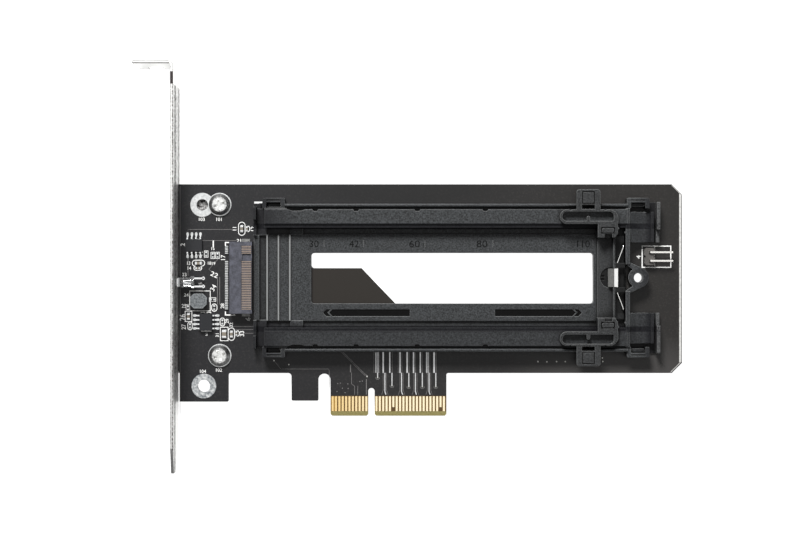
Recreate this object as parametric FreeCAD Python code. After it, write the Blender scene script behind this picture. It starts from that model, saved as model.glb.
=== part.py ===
"""Adapter card that carries an M.2 drive in an x4 card-edge slot.

The card lies flat with its component side up. The origin is the datum of its edge connector:
the middle of the key slot, on the mating edge, halfway through the board.
+X runs away from the bracket, +Y towards the bracket's screw ear, +Z out of the component side.
All sizes are in millimetres.
"""
import FreeCAD, Part
import math
import os

V = FreeCAD.Vector

# --- circuit board -------------------------------------------------------------------------
BOARD_T = 1.6
TOP = BOARD_T / 2            # component face
BOARD_LEFT = -57.2
BOARD_RIGHT = 92.1
BOARD_HIGH = 68.7            # low-profile card height above the mating edge
BOARD_LOW = 12.7             # lower edge beside the connector
CORNER_CUT = 3.0
ROUTED_R = 0.6               # inside corners, left by the router
BROKEN_R = 0.4               # outside corners, rubbed off
HOOK_INNER_R = 1.0
FOOT_RIGHT = -42.4
FOOT_LOW = 4.2
FOOT_INSET = 0.3
HOOK_LEFT = -23.7
HOOK_RIGHT = -15.75
HOOK_LOW = 4.5
TONGUE_LEFT = -12.15
TONGUE_RIGHT = 22.25
TONGUE_CHAMFER = 0.5
NOTCH_HIGH = 12.5
KEY_W = 1.9
KEY_HIGH = 8.25
BEVEL_LONG = 1.35
BEVEL_DEEP = 0.5

# --- edge contacts -------------------------------------------------------------------------
PIN_PITCH = 1.0
FIRST_PIN_FROM_KEY = 1.5
PINS_BEFORE_KEY = 11
PINS_AFTER_KEY = 21
FINGER_W = 0.72
FINGER_T = 0.05
FINGER_LOW = 1.4
FINGER_HIGH = 5.8
SHORT_FINGER_LOW = 2.6

# --- fixing holes: (x, y) ------------------------------------------------------------------
SCREW_HIGH = (-45.0, 62.7)
SCREW_LOW = (-45.0, 17.9)
SPARE_HOLE = (-50.15, 62.6)
FOOT_HOLE = (-49.7, 8.85)
SCREW_HOLE_R = 1.6
SPARE_HOLE_R = 1.7
FOOT_HOLE_R = 1.85
SPARE_PAD_R = 3.55
FOOT_PAD_R = 3.65
PLATING = 0.05

# --- bracket -------------------------------------------------------------------------------
BRACKET_T = 0.86
BRACKET_IN = -57.3           # face towards the board
BRACKET_OUT = BRACKET_IN - BRACKET_T
BRACKET_Y = (-15.95, 104.05)
BRACKET_Z = (-3.3, 15.1)
EAR_TIP = BRACKET_IN - 11.9
EAR_FREE = BRACKET_OUT - 1.2
NECK_Z = 4.1
NECK_Y = 98.8
NECK_R = 0.8
BEND_R = 0.5                 # inside of the ear's bend
SHOULDER_R = 3.0
TONGUE_LOW = [(5.5, -3.3), (3.2, -0.6), (-8.0, 0.9), (-13.3, 3.7), (-15.95, 8.5)]
TONGUE_HIGH = [(-8.6, 15.1), (-15.95, 12.6)]
EAR_NOTCH_FROM_FACE = 5.7
EAR_NOTCH_R = 2.2
EAR_NOTCH_DEEP = 5.0
TAB_END = -41.4
TAB_TOP = -TOP - PLATING     # the tabs lie under the board's plated holes
TAB_W = 9.2
TAB_RELIEF = 0.9
TAPPED_R = 1.45
LED_HOLE_R = 1.65

# --- drive carrier: x from the key slot, d from the drive's centre line, z from the board --
AXIS_Y = 41.0
FRAME_LEFT = -34.8
RAIL_LEFT = -31.5
BEAD_LEFT = -25.4
WALL_X = (74.9, 76.1)
WALL_D = 20.45
FLOOR_T = 0.6
PLATE_T = 1.5
PLATE_D = 12.8
PLATE_X = (-31.1, 66.7)
LIP_D = 14.7                 # inner lip that the slider's hooks run under
RAIL_IN = 15.7
STRIP_H = 5.4
GROOVE_D = (20.2, 20.8)
GROOVE_FLOOR = 3.8
BEAD_D = 21.8
BEAD_H = 5.7
WINDOW_X = (-17.8, 65.7)
WINDOW_D = (-7.65, 7.3)
WINDOW_R = 0.9
STEP_X = (-2.93, 7.09)       # slanted end of the board left standing in the window
STEP_D = 2.8
CROSS_RIB_X = (-30.8, -27.45, -24.1)
CROSS_RIB_W = 0.45
DRIVE_LENGTHS = (30, 42, 60, 80, 110)
NOTCH_OFFSET = -46.42        # detent notch for a drive of length L is at x = L + offset
LOOP_LEFT_X = (-32.05, -25.4)
LOOP_RIGHT_X = (75.3, 81.9)
LOOP_D = (20.4, 23.5)
LOOP_WALL = 1.15
LOOP_BAR = 1.35
LOOP_GROOVE_D = (22.65, 22.95)
LOOP_H = 4.8
LEG_D = (20.9, 22.1)
LEG_GAP = 0.3
LEG_H = 3.4
LEG_ROOT_LEFT = (19.5, 2.3, 3.4)
LEG_ROOT_RIGHT = (20.0, 0.0, 0.8)
BARB = 0.7
SLOT_D = (20.75, 22.6)
SLOT_INSET = 0.9             # slot's end from the loop's outer face
SLOT_PLAY = 0.15
KEY_START = -34.7            # locating key in the longer slot, at the ear side only
KEY_END = -32.7
KEY_OUT = 21.95
EAR_X = (76.1, 83.3)
EAR_D = (10.4, 19.4)
FLAP_X = (84.1, 85.1)
FLAP_D = (14.1, 22.3)
LUG_X = 78.73
LUG_R = 3.0
LUG_H = 4.6
LUG_HOLE_R = 1.38
LUG_BOARD_R = 1.6            # the board lets the same screw pass
ARROW_D = -10.4
ARROW_W = 2.05
ARROW_DEEP = 0.25

# --- length slider, drawn in its 110 mm place ----------------------------------------------
SLIDER_H = 7.5
RIDE_H = 5.5                 # underside of what rides on the rails
TAB_X = (60.26, 67.23)
TAB_D = (19.96, 25.94)
PAD_X = (61.95, 65.5)
PAD_D = (21.7, 25.3)
EYE_X = (61.8, 65.6)
EYE_D = (20.15, 21.45)
LOOP_X = (55.34, 72.44)
FLEX_D = (15.78, 20.0)
FLEX_SLOT_X = (56.07, 71.15)
FLEX_SLOT_D = (16.65, 19.38)
BAR_X = (58.85, 68.25)
NECK_W = 0.35
BLOCK_X = (66.5, 72.35)
BLOCK_D = (11.8, 16.65)
PEG_X = (63.2, 64.2)
PEG_D = 18.1
PILL_X = (67.44, 71.45)
PILL_D = 13.9
PILL_W = 1.85
GROOVE_W = 0.22
GROOVE_DEEP = 0.35
BRIDGE_H = (1.6, 2.4)
SLIDER_RIB_X = (71.27, 71.8)
SLIDER_RIB_D = 2.85
SLIDER_END = 74.7
CATCH_W = 5.4
CATCH_T = 0.4
CATCH_FOOT = 2.5
HOOD_D = (2.85, 4.35)        # hoods that hide the wire beside the catch
HOOD_H = (3.95, 4.6)
WIRE_R = 0.18
SPRING_END = (74.35, 9.7)

# --- drive socket --------------------------------------------------------------------------
SOCKET_X = (-41.9, -35.15)
SOCKET_D = 10.6
SOCKET_H = 4.2
CONTACT_PITCH = 0.5
CONTACTS = 38
KEY_D = 6.1
KEY_SKIP = 1.05

# --- chips, coil, lamp, small parts and pin header: (x, y) centres -----------------------------
SOIC_BODY = (4.9, 3.9)
SOIC_PITCH = 1.27
UPPER_CHIP = (-52.6, 50.55)
LOWER_CHIP = (-49.0, 27.85)
INDUCTOR = (-51.2, 34.1)
LED_Y = 39.6
LED_AXIS_H = 1.95            # its flange lies on the board
LED_R = 1.5
LED_FLANGE_R = 1.85
LED_TIP = -57.5
LED_FLANGE_X = (-53.4, -52.4)
LED_LEAD_END = -49.9
LED_LEAD_PITCH = 2.4
LED_LEAD_W = 0.5
LEAD_HOLE_W = 1.0
HEADER_X = 82.3
HEADER_Y = 47.25
HEADER_PITCH = 2.54
PIN_W = 0.6

# small parts: (x, y, turned across) by size class, length by width by height
SIZES = {"0402": (1.0, 0.5, 0.4), "0603": (1.6, 0.8, 0.7), "0805": (2.0, 1.25, 0.95)}
CAPACITORS = [
    ("0603", -38.45, 55.5, True), ("0402", -36.95, 55.45, True), ("0603", -51.3, 45.3, False),
    ("0402", -51.5, 43.8, False), ("0603", -54.25, 29.5, True), ("0805", -43.65, 24.3, True),
    ("0603", -41.5, 24.25, True), ("0402", -40.05, 24.45, True),
]
RESISTORS = [
    ("0402", -49.0, 48.0, True), ("0402", -47.05, 47.6, True), ("0402", -45.65, 47.6, True),
    ("0402", -46.6, 32.1, True), ("0402", -53.8, 26.7, True), ("0402", -44.2, 27.85, True),
    ("0402", -54.4, 32.0, True), ("0402", -47.1, 34.5, False),
]


# --- tools for outlines and prisms ---------------------------------------------------------
def turn(before, corner, after, radius):
    """Start, middle and end of the arc that rounds a corner."""
    back = (before - corner).normalize()
    ahead = (after - corner).normalize()
    half = back.getAngle(ahead) / 2
    centre = corner + (back + ahead).normalize() * (radius / math.sin(half))
    run = radius / math.tan(half)
    middle = centre + (corner - centre).normalize() * radius
    return corner + back * run, middle, corner + ahead * run


def rounded_path(corners, closed):
    """Lines and arcs through corners, each a point and a radius."""
    count = len(corners)
    turns = [turn(corners[i - 1][0], point, corners[(i + 1) % count][0], radius)
             if radius else (point, None, point) for i, (point, radius) in enumerate(corners)]
    edges = []
    for i, (start, middle, end) in enumerate(turns):
        following = turns[(i + 1) % count][0]
        if middle is not None:
            edges.append(Part.Arc(start, middle, end).toShape())
        if (closed or i < count - 1) and (following - end).Length > 1e-6:
            edges.append(Part.LineSegment(end, following).toShape())
    return Part.Wire(edges)


def outline(corners):
    """Closed flat outline through corners (x, y) or (x, y, radius)."""
    return rounded_path([(V(c[0], c[1], 0), c[2] if len(c) > 2 else 0) for c in corners], True)


def octagon(wide, deep, cut):
    x, y = wide / 2, deep / 2
    return [(-x, -y + cut), (-x, y - cut), (-x + cut, y), (x - cut, y), (x, y - cut),
            (x, -y + cut), (x - cut, -y), (-x + cut, -y)]


def slab(corners, z0, z1):
    """Outline in X and Y, standing from z0 to z1."""
    solid = Part.Face(outline(corners)).extrude(V(0, 0, z1 - z0))
    solid.translate(V(0, 0, z0))
    return solid


def prism_x(corners, x0, x1):
    """Section given in Y and Z, running along X."""
    solid = slab(corners, 0, x1 - x0)
    turned = FreeCAD.Matrix(0, 0, 1, x0, 1, 0, 0, 0, 0, 1, 0, 0, 0, 0, 0, 1)
    solid.Placement = FreeCAD.Placement(turned)
    return solid


def prism_y(corners, y0, y1):
    """Section given in X and Z, running along Y."""
    solid = slab(corners, 0, y1 - y0)
    turned = FreeCAD.Matrix(1, 0, 0, 0, 0, 0, -1, y1, 0, 1, 0, 0, 0, 0, 0, 1)
    solid.Placement = FreeCAD.Placement(turned)
    return solid


def block(x, y, z):
    """Box between pairs of limits."""
    corner = V(min(x), min(y), min(z))
    return Part.makeBox(abs(x[1] - x[0]), abs(y[1] - y[0]), abs(z[1] - z[0]), corner)


def disc(x, y, radius, z0, z1):
    return Part.makeCylinder(radius, z1 - z0, V(x, y, z0))


def fused(shapes):
    shapes = list(shapes)
    whole = shapes[0].multiFuse(shapes[1:]) if len(shapes) > 1 else shapes[0]
    return whole.removeSplitter()


def mirrored(shape):
    """The same shape on the other side of the drive's centre line."""
    return shape.mirror(V(0, 0, 0), V(0, 1, 0))


def both_sides(shape):
    return [shape, mirrored(shape)]


def on_carrier(shape):
    """From the carrier's own axes to the card's."""
    shape.translate(V(0, AXIS_Y, TOP))
    return shape


def export(name, solids):
    """One file per node; a group keeps its solids apart."""
    if not isinstance(solids, list):
        solids = solids.Solids
    group = [s for shape in solids for s in shape.Solids]
    shape = group[0] if len(group) == 1 else Part.makeCompound(group)
    if not shape.isValid():
        print("NOT VALID", name)
    box = shape.BoundBox
    print(f"{name:28s} {len(group):3d} solids  x {box.XMin:8.2f} {box.XMax:8.2f}"
          f"  y {box.YMin:8.2f} {box.YMax:8.2f}  z {box.ZMin:7.2f} {box.ZMax:7.2f}")
    shape.exportStep(f"parts/{name}.step")


# --- circuit board -------------------------------------------------------------------------
def board_outline():
    notch_r = (TONGUE_LEFT - HOOK_RIGHT) / 2 - 0.01
    return [
        (BOARD_LEFT, BOARD_HIGH),
        (BOARD_RIGHT - CORNER_CUT, BOARD_HIGH),
        (BOARD_RIGHT, BOARD_HIGH - CORNER_CUT),
        (BOARD_RIGHT, BOARD_LOW + CORNER_CUT),
        (BOARD_RIGHT - CORNER_CUT, BOARD_LOW),
        (TONGUE_RIGHT, BOARD_LOW, ROUTED_R),
        (TONGUE_RIGHT, TONGUE_CHAMFER),
        (TONGUE_RIGHT - TONGUE_CHAMFER, 0),
        (TONGUE_LEFT + TONGUE_CHAMFER, 0),
        (TONGUE_LEFT, TONGUE_CHAMFER),
        (TONGUE_LEFT, NOTCH_HIGH, notch_r),
        (HOOK_RIGHT, NOTCH_HIGH, notch_r),
        (HOOK_RIGHT, HOOK_LOW, BROKEN_R),
        (HOOK_LEFT, HOOK_LOW, BROKEN_R),
        (HOOK_LEFT, BOARD_LOW, HOOK_INNER_R),
        (FOOT_RIGHT, BOARD_LOW, ROUTED_R),
        (FOOT_RIGHT, FOOT_LOW, BROKEN_R),
        (BOARD_LEFT + FOOT_INSET, FOOT_LOW),
        (BOARD_LEFT + FOOT_INSET, BOARD_LOW),
        (BOARD_LEFT, BOARD_LOW),
    ]


def window_outline():
    """The board's window, with the slanted piece left standing at its lower left."""
    left, right = WINDOW_X
    low, high = (AXIS_Y + d for d in WINDOW_D)
    step = AXIS_Y + STEP_D
    return [
        (left, high, WINDOW_R), (right, high, WINDOW_R), (right, low, WINDOW_R),
        (STEP_X[1], low), (STEP_X[0], step), (left, step, WINDOW_R),
    ]


def leg_slots():
    """Slots for the carrier's four snap legs; the one nearest the ear is longer."""
    slots = []
    for x0, x1 in (LOOP_LEFT_X, LOOP_RIGHT_X):
        for side in (-1, 1):
            longer = side > 0 and x0 < 0
            start = KEY_START - SLOT_PLAY if longer else x0 + SLOT_INSET
            y = sorted(AXIS_Y + side * d for d in SLOT_D)
            slots.append(block((start, x1 - SLOT_INSET), y, (-TOP - 1, TOP + 1)))
    return slots


def led_leads_y():
    return [LED_Y - LED_LEAD_PITCH / 2, LED_Y + LED_LEAD_PITCH / 2]


def header_pins_y():
    return [HEADER_Y - HEADER_PITCH / 2, HEADER_Y + HEADER_PITCH / 2]


def circuit_board():
    board = slab(board_outline(), -TOP, TOP)
    reach = (-TOP - 1, TOP + 1)
    cuts = [slab(window_outline(), *reach)]
    half, mouth = KEY_W / 2, KEY_W / 2 + TONGUE_CHAMFER
    cuts.append(slab([(-mouth, -1), (mouth, -1), (mouth, 0), (half, TONGUE_CHAMFER),
                      (half, KEY_HIGH, half - 0.01), (-half, KEY_HIGH, half - 0.01),
                      (-half, TONGUE_CHAMFER), (-mouth, 0)], *reach))
    for hole, radius in ((SCREW_HIGH, SCREW_HOLE_R), (SCREW_LOW, SCREW_HOLE_R),
                         (SPARE_HOLE, SPARE_HOLE_R), (FOOT_HOLE, FOOT_HOLE_R),
                         ((LUG_X, AXIS_Y), LUG_BOARD_R)):
        cuts.append(disc(*hole, radius, *reach))
    cuts += leg_slots()
    for x, rows in ((HEADER_X, header_pins_y()), (LED_LEAD_END, led_leads_y())):
        for y in rows:
            hole = slab(octagon(LEAD_HOLE_W, LEAD_HOLE_W, 0.29 * LEAD_HOLE_W), *reach)
            hole.translate(V(x, y, 0))
            cuts.append(hole)
    for side in (-1, 1):
        bevel = [(-1, side * (TOP + 1)), (BEVEL_LONG, side * (TOP + 1)), (BEVEL_LONG, side * TOP),
                 (0, side * (TOP - BEVEL_DEEP)), (-1, side * (TOP - BEVEL_DEEP))]
        cuts.append(prism_x(bevel, TONGUE_LEFT - 1, TONGUE_RIGHT + 1))
    return board.cut(cuts)


def edge_fingers(side, short_pins, joined):
    """Gold contacts on one face: side is +1 on the component face, -1 underneath."""
    z = sorted((side * TOP, side * (TOP + FINGER_T)))
    numbers = range(1, PINS_BEFORE_KEY + PINS_AFTER_KEY + 1)
    fingers = []
    for n in numbers:
        if n <= PINS_BEFORE_KEY:
            x = -FIRST_PIN_FROM_KEY - (PINS_BEFORE_KEY - n) * PIN_PITCH
        else:
            x = FIRST_PIN_FROM_KEY + (n - PINS_BEFORE_KEY - 1) * PIN_PITCH
        low = SHORT_FINGER_LOW if n in short_pins else FINGER_LOW
        right = x + FINGER_W / 2 + (PIN_PITCH if n in joined else 0)
        if n - 1 not in joined:
            fingers.append(block((x - FINGER_W / 2, right), (low, FINGER_HIGH), z))
    return fingers


def hole_pads(centre, hole_r, pad_r):
    """Tinned pads around a hole, one on each face."""
    pads = []
    for z0, z1 in ((TOP, TOP + PLATING), (-TOP - PLATING, -TOP)):
        pads.append(disc(*centre, pad_r, z0, z1).cut(disc(*centre, hole_r, z0 - 1, z1 + 1)))
    return pads


# --- bracket and its screws ----------------------------------------------------------------
def bracket_tab(y):
    """Ear bent under the board, tapped for a screw."""
    low = TAB_TOP - BRACKET_T
    section = [(BRACKET_OUT, 0), (BRACKET_OUT, low, 0.8), (TAB_END, low),
               (TAB_END, TAB_TOP), (BRACKET_IN, TAB_TOP), (BRACKET_IN, 0)]
    tab = prism_y(section, y - TAB_W / 2, y + TAB_W / 2)
    corner = 2.2
    half = TAB_W / 2
    keep = slab([(BRACKET_OUT - 1, y - half), (TAB_END, y - half, corner),
                 (TAB_END, y + half, corner), (BRACKET_OUT - 1, y + half)], low - 1, 1)
    return tab.common(keep)


def shoulder_cut(face):
    """What is cut away where the plate narrows to the neck, with a rounded corner."""
    low = BRACKET_Z[0]
    y, z = NECK_Y - SHOULDER_R, low + SHOULDER_R
    corner = prism_x([(NECK_Y + 1, low - 1), (NECK_Y + 1, z), (NECK_Y, z), (y, low),
                      (y, low - 1)], *face)
    quarter = [(y, z), (y + SHOULDER_R, z), (y + SHOULDER_R, low, SHOULDER_R * 0.999), (y, low)]
    return corner.cut(prism_x(quarter, face[0] - 1, face[1] + 1))


def ear_notch():
    """Open slot in the ear for the screw that holds the bracket."""
    low = BRACKET_Z[0]
    y1 = BRACKET_Y[1]
    x = BRACKET_OUT - EAR_NOTCH_FROM_FACE
    end = low + EAR_NOTCH_DEEP
    slot = block((x - EAR_NOTCH_R, x + EAR_NOTCH_R), (y1 - 2, y1 + 1), (low - 1, end))
    return [slot, Part.makeCylinder(EAR_NOTCH_R, 3, V(x, y1 - 2, end), V(0, 1, 0))]


def tab_cuts(y, face):
    """Room under one tab, its two bend reliefs, and the corner that the bend replaces."""
    low = BRACKET_Z[0]
    half = TAB_W / 2
    reach = half + TAB_RELIEF
    cuts = [block(face, (y - reach, y + reach), (low - 1, TAB_TOP - BRACKET_T)),
            block((BRACKET_OUT - 1, BRACKET_IN), (y - half, y + half), (low, 0))]
    for near, far in ((y - reach, y - half), (y + half, y + reach)):
        cuts.append(block(face, (near, far), (low - 1, -TOP + 0.6)))
    return cuts


def bracket():
    low, high = BRACKET_Z
    y0, y1 = BRACKET_Y
    tip_r = 0.2
    bend = [(BRACKET_IN, y0), (BRACKET_IN, y1, BEND_R + BRACKET_T), (EAR_TIP, y1, tip_r),
            (EAR_TIP, y1 - BRACKET_T, tip_r), (BRACKET_OUT, y1 - BRACKET_T, BEND_R),
            (BRACKET_OUT, y0)]
    face = (BRACKET_OUT - 0.1, BRACKET_IN + 0.1)
    neck = [(NECK_Y, low - 1), (NECK_Y, NECK_Z, NECK_R), (y1 + 1, NECK_Z), (y1 + 1, low - 1)]
    below = TONGUE_LOW + [(y0 - 1, TONGUE_LOW[-1][1]), (y0 - 1, low - 1), (TONGUE_LOW[0][0], low - 1)]
    above = TONGUE_HIGH + [(y0 - 1, TONGUE_HIGH[-1][1]), (y0 - 1, high + 1),
                           (TONGUE_HIGH[0][0], high + 1)]
    cuts = [prism_x(neck, EAR_FREE, face[1]), shoulder_cut(face), prism_x(below, *face),
            prism_x(above, *face)] + ear_notch()
    tabs = []
    for x, y in (SCREW_HIGH, SCREW_LOW):
        cuts += tab_cuts(y, face)
        tabs.append(bracket_tab(y).cut(disc(x, y, TAPPED_R, -5, 1)))
    led = Part.makeCylinder(LED_HOLE_R, 4, V(BRACKET_OUT - 2, LED_Y, TOP + LED_AXIS_H), V(1, 0, 0))
    return fused([slab(bend, low, high).cut(cuts)] + tabs).cut(led)


def bracket_screw(centre):
    """Pan-head cross-recess screw, its head on the board and its shank in the bracket's tab."""
    head_r, head_h, rim_h, top_r = 3.15, 1.8, 0.9, 2.15
    shank_r, length = 1.38, 3.6
    half = [(0, -length), (shank_r, -length), (shank_r, 0), (head_r, 0), (head_r, rim_h),
            (top_r, head_h), (0, head_h)]
    turned = Part.Face(outline(half)).revolve(V(0, 0, 0), V(0, 1, 0), 360)
    turned.rotate(V(0, 0, 0), V(1, 0, 0), 90)
    cross_top, cross_foot, cross_floor, cross_w = 1.75, 0.9, 0.7, 0.64
    recess = []
    for angle in (20, 110):
        arm = prism_y([(-cross_top, head_h + 0.1), (-cross_foot, cross_floor),
                       (cross_foot, cross_floor), (cross_top, head_h + 0.1)],
                      -cross_w / 2, cross_w / 2)
        arm.rotate(V(0, 0, 0), V(0, 0, 1), angle)
        recess.append(arm)
    screw = turned.cut(recess)
    screw.translate(V(*centre, TOP + PLATING))
    return screw


# --- drive socket --------------------------------------------------------------------------
def contact_rows():
    """Distances of the contacts from the centre line, without those at the key."""
    first = -(CONTACTS - 1) / 2 * CONTACT_PITCH
    rows = [first + i * CONTACT_PITCH for i in range(CONTACTS)]
    return [d for d in rows if abs(d - KEY_D) > KEY_SKIP]


def socket_housing():
    x0, x1 = SOCKET_X
    mouth_low, mouth_high, back = 2.2, 3.35, -39.4
    section = [(x0, 0.1), (x1 - 0.4, 0.1), (x1 - 0.4, 1.7), (x1 - 0.9, mouth_low),
               (back, mouth_low), (back, mouth_high), (x1 - 0.6, mouth_high), (x1, 3.8),
               (x1, SOCKET_H), (x0 + 0.2, SOCKET_H), (x0, SOCKET_H - 0.2)]
    housing = prism_y(section, -SOCKET_D, SOCKET_D)
    cheek = 0.6
    cheeks = both_sides(block(SOCKET_X, (SOCKET_D - cheek, SOCKET_D), (0.1, SOCKET_H)))
    key = block((back, x1 - 0.4), (KEY_D - 0.55, KEY_D + 0.55), (1.5, 3.6))
    slots = [block((-38.3, x1 + 1), (d - 0.14, d + 0.14), (3.6, SOCKET_H + 1))
             for d in contact_rows()]
    keyhole = block((-38.0, x1 - 0.3), (KEY_D - 0.95, KEY_D + 0.95), (3.7, SOCKET_H + 1))
    return fused([housing] + cheeks + [key]).cut(slots + [keyhole])


def socket_contacts():
    """Upper row of spring contacts, lying in the slots of the housing's front edge."""
    section = [(-38.2, 3.62), (-35.9, 3.62), (-35.4, 3.95), (-38.2, 3.9)]
    return [prism_y(section, d - 0.1, d + 0.1) for d in contact_rows()]


def socket_leads():
    """Soldered feet of the contacts, along the back of the housing."""
    x0 = SOCKET_X[0]
    section = [(x0 - 1.4, 0.02), (x0, 0.02), (x0, 0.5), (x0 - 1.4, 0.2)]
    return [prism_y(section, d - 0.11, d + 0.11) for d in contact_rows()]


def socket_nails():
    """Solder nails that hold the housing's two ends."""
    foot = block((-38.4, -36.0), (SOCKET_D, SOCKET_D + 0.9), (0.0, 0.2))
    side = block((-38.0, -36.4), (SOCKET_D, SOCKET_D + 0.2), (0.0, 3.0))
    return both_sides(fused([foot, side]))


# --- chips, coil, lamp and small parts on the board ----------------------------------------
def chip_body(centre, turn):
    long, wide = SOIC_BODY
    low, mid, high, draft = 0.15, 0.85, 1.5, 0.14
    section = [(-wide / 2 + draft, low), (-wide / 2, mid), (-wide / 2 + draft, high),
               (wide / 2 - draft, high), (wide / 2, mid), (wide / 2 - draft, low)]
    body = prism_x(section, -long / 2, long / 2)
    body.rotate(V(0, 0, 0), V(0, 0, 1), turn)
    body.translate(V(*centre, TOP))
    return body


def chip_leads(centre, turn):
    """Eight gull-wing leads."""
    half = SOIC_BODY[1] / 2
    section = [(half, 0.75), (half + 0.3, 0.75), (half + 0.45, 0.02), (half + 1.1, 0.02),
               (half + 1.1, 0.2), (half + 0.6, 0.2), (half + 0.45, 0.95), (half, 0.95)]
    leads = []
    for i in range(4):
        x = (i - 1.5) * SOIC_PITCH
        lead = prism_x(section, x - 0.21, x + 0.21)
        leads += [lead, lead.mirror(V(0, 0, 0), V(0, 1, 0))]
    for lead in leads:
        lead.rotate(V(0, 0, 0), V(0, 0, 1), turn)
        lead.translate(V(*centre, TOP))
    return leads


def drum_waist():
    return octagon(2.2, 2.2, 0.6)


def inductor_core():
    """Drum core: two eight-sided flanges on a waist."""
    flange = octagon(4.9, 4.3, 1.15)
    core = fused([slab(flange, 0.3, 0.8), slab(drum_waist(), 0.8, 1.6), slab(flange, 1.6, 2.2)])
    core.translate(V(*INDUCTOR, TOP))
    return core


def inductor_coil():
    coil = disc(0, 0, 1.95, 0.8, 1.6).cut(slab(drum_waist(), 0, 3))
    coil.translate(V(*INDUCTOR, TOP))
    return coil


def inductor_terminals():
    ends = [block((1.0, 2.35), (-1.0, 1.0), (0.0, 0.3)), block((-2.35, -1.0), (-1.0, 1.0), (0.0, 0.3))]
    for end in ends:
        end.translate(V(*INDUCTOR, TOP))
    return ends


def led_pockets(gap):
    """Room in the lens for the two leads and the reflector that stands on one of them."""
    half, inner = LED_LEAD_W / 2 + gap, -55.0 - gap
    z = TOP + LED_AXIS_H
    posts = [block((inner, LED_FLANGE_X[1] + gap), (y - half, y + half), (z - half, z + half))
             for y in (LED_Y - 1.05, LED_Y + 1.05)]
    cup = block((inner, -54.2 + gap), (LED_Y - 1.1 - gap, LED_Y + 0.15 + gap),
                (z - 0.5 - gap, z + 0.5 + gap))
    return [fused([posts[0], cup]), posts[1]]


def led_lens():
    """Clear 3 mm lamp lying on the board, its domed end in the bracket's hole."""
    x0, x1 = LED_FLANGE_X
    half = [(LED_TIP, 0), (LED_TIP, 0.6 * LED_R), (LED_TIP + 0.25 * LED_R, 0.9 * LED_R),
            (LED_TIP + LED_R, LED_R), (x0, LED_R), (x0, LED_FLANGE_R), (x1, LED_FLANGE_R), (x1, 0)]
    lens = Part.Face(outline(half)).revolve(V(0, 0, 0), V(1, 0, 0), 360)
    lens.translate(V(0, LED_Y, TOP + LED_AXIS_H))
    return lens.cut(led_pockets(0.02))


def led_leads():
    """Two square leads: out of the lens, then bent down through the board."""
    z = TOP + LED_AXIS_H
    half, low = LED_LEAD_W / 2, -TOP - 1.2
    section = [(LED_FLANGE_X[1], z - half), (LED_LEAD_END - half, z - half),
               (LED_LEAD_END - half, low), (LED_LEAD_END + half, low),
               (LED_LEAD_END + half, z - half), (LED_LEAD_END, z + half), (LED_FLANGE_X[1], z + half)]
    outside = [prism_y(section, y - half, y + half) for y in led_leads_y()]
    return [fused(pair) for pair in zip(led_pockets(0), outside)]


def small_part(kind, x, y, across):
    """Ceramic body and its two plated ends."""
    long, wide, high = SIZES[kind]
    end = long * 0.22
    body = block((-long / 2 + end, long / 2 - end), (-wide / 2, wide / 2), (0.02, high))
    ends = [block((s * (long / 2 - end), s * long / 2), (-wide / 2, wide / 2), (0.0, high))
            for s in (-1, 1)]
    for shape in [body] + ends:
        shape.rotate(V(0, 0, 0), V(0, 0, 1), 90 if across else 0)
        shape.translate(V(x, y, TOP))
    return body, ends


def small_parts(rows):
    bodies, ends = [], []
    for row in rows:
        body, pair = small_part(*row)
        bodies.append(body)
        ends += pair
    return bodies, ends


def header_base():
    long, wide, high = 2 * HEADER_PITCH, 3.1, 2.5
    corner = 0.5
    y0, y1 = HEADER_Y - long / 2, HEADER_Y + long / 2
    x0, x1 = HEADER_X - wide / 2, HEADER_X + wide / 2
    outline = [(x0 + corner, y0), (x1 - corner, y0), (x1, y0 + corner), (x1, HEADER_Y - corner),
               (x1 - corner, HEADER_Y), (x1, HEADER_Y + corner), (x1, y1 - corner),
               (x1 - corner, y1), (x0 + corner, y1), (x0, y1 - corner), (x0, HEADER_Y + corner),
               (x0 + corner, HEADER_Y), (x0, HEADER_Y - corner), (x0, y0 + corner)]
    base = slab(outline, TOP, TOP + high)
    half = PIN_W / 2
    return base.cut([block((HEADER_X - half, HEADER_X + half), (y - half, y + half),
                           (TOP - 1, TOP + high + 1)) for y in header_pins_y()])


def header_pins():
    """Square pins: up through the base, bent over and out towards the card's end."""
    half, tip, reach, bend = PIN_W / 2, 0.25, 89.1, 0.5
    high = TOP + 3.2
    low = -TOP - 0.9
    x = HEADER_X
    section = [(x - half, low), (x + half, low), (x + half, high - PIN_W, 0.1),
               (reach - tip, high - PIN_W), (reach, high - PIN_W + tip / 2), (reach, high - tip / 2),
               (reach - tip, high), (x - half, high, bend)]
    return [prism_y(section, y - half, y + half) for y in header_pins_y()]


# --- carrier frame -------------------------------------------------------------------------
def rail_strip():
    """Hollow rail: inner wall, lip, top strip and the floor of the detent groove."""
    g0, g1 = GROOVE_D
    section = [
        (RAIL_IN, 0), (RAIL_IN + 0.9, 0), (RAIL_IN + 0.9, STRIP_H - 1.2), (19.3, STRIP_H - 1.2),
        (19.3, 3.0), (g1 + 0.1, 3.0), (g1 + 0.1, GROOVE_FLOOR), (g0, GROOVE_FLOOR),
        (g0, STRIP_H - 0.15),
        (g0 - 0.15, STRIP_H), (RAIL_IN, STRIP_H), (RAIL_IN, STRIP_H - 0.4),
        (LIP_D, STRIP_H - 0.4), (LIP_D, STRIP_H - 1.3), (RAIL_IN, STRIP_H - 1.3),
    ]
    return prism_x(section, RAIL_LEFT, WALL_X[0] + 0.5)


def rail_bead():
    """Outer wall of the rail with its rounded top edge."""
    d0, d1 = GROOVE_D[1], BEAD_D
    return prism_x([(d0, 0), (d1, 0), (d1, BEAD_H, 0.42), (d0, BEAD_H, 0.42)],
                   BEAD_LEFT, LOOP_RIGHT_X[0] + 0.1)


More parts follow.
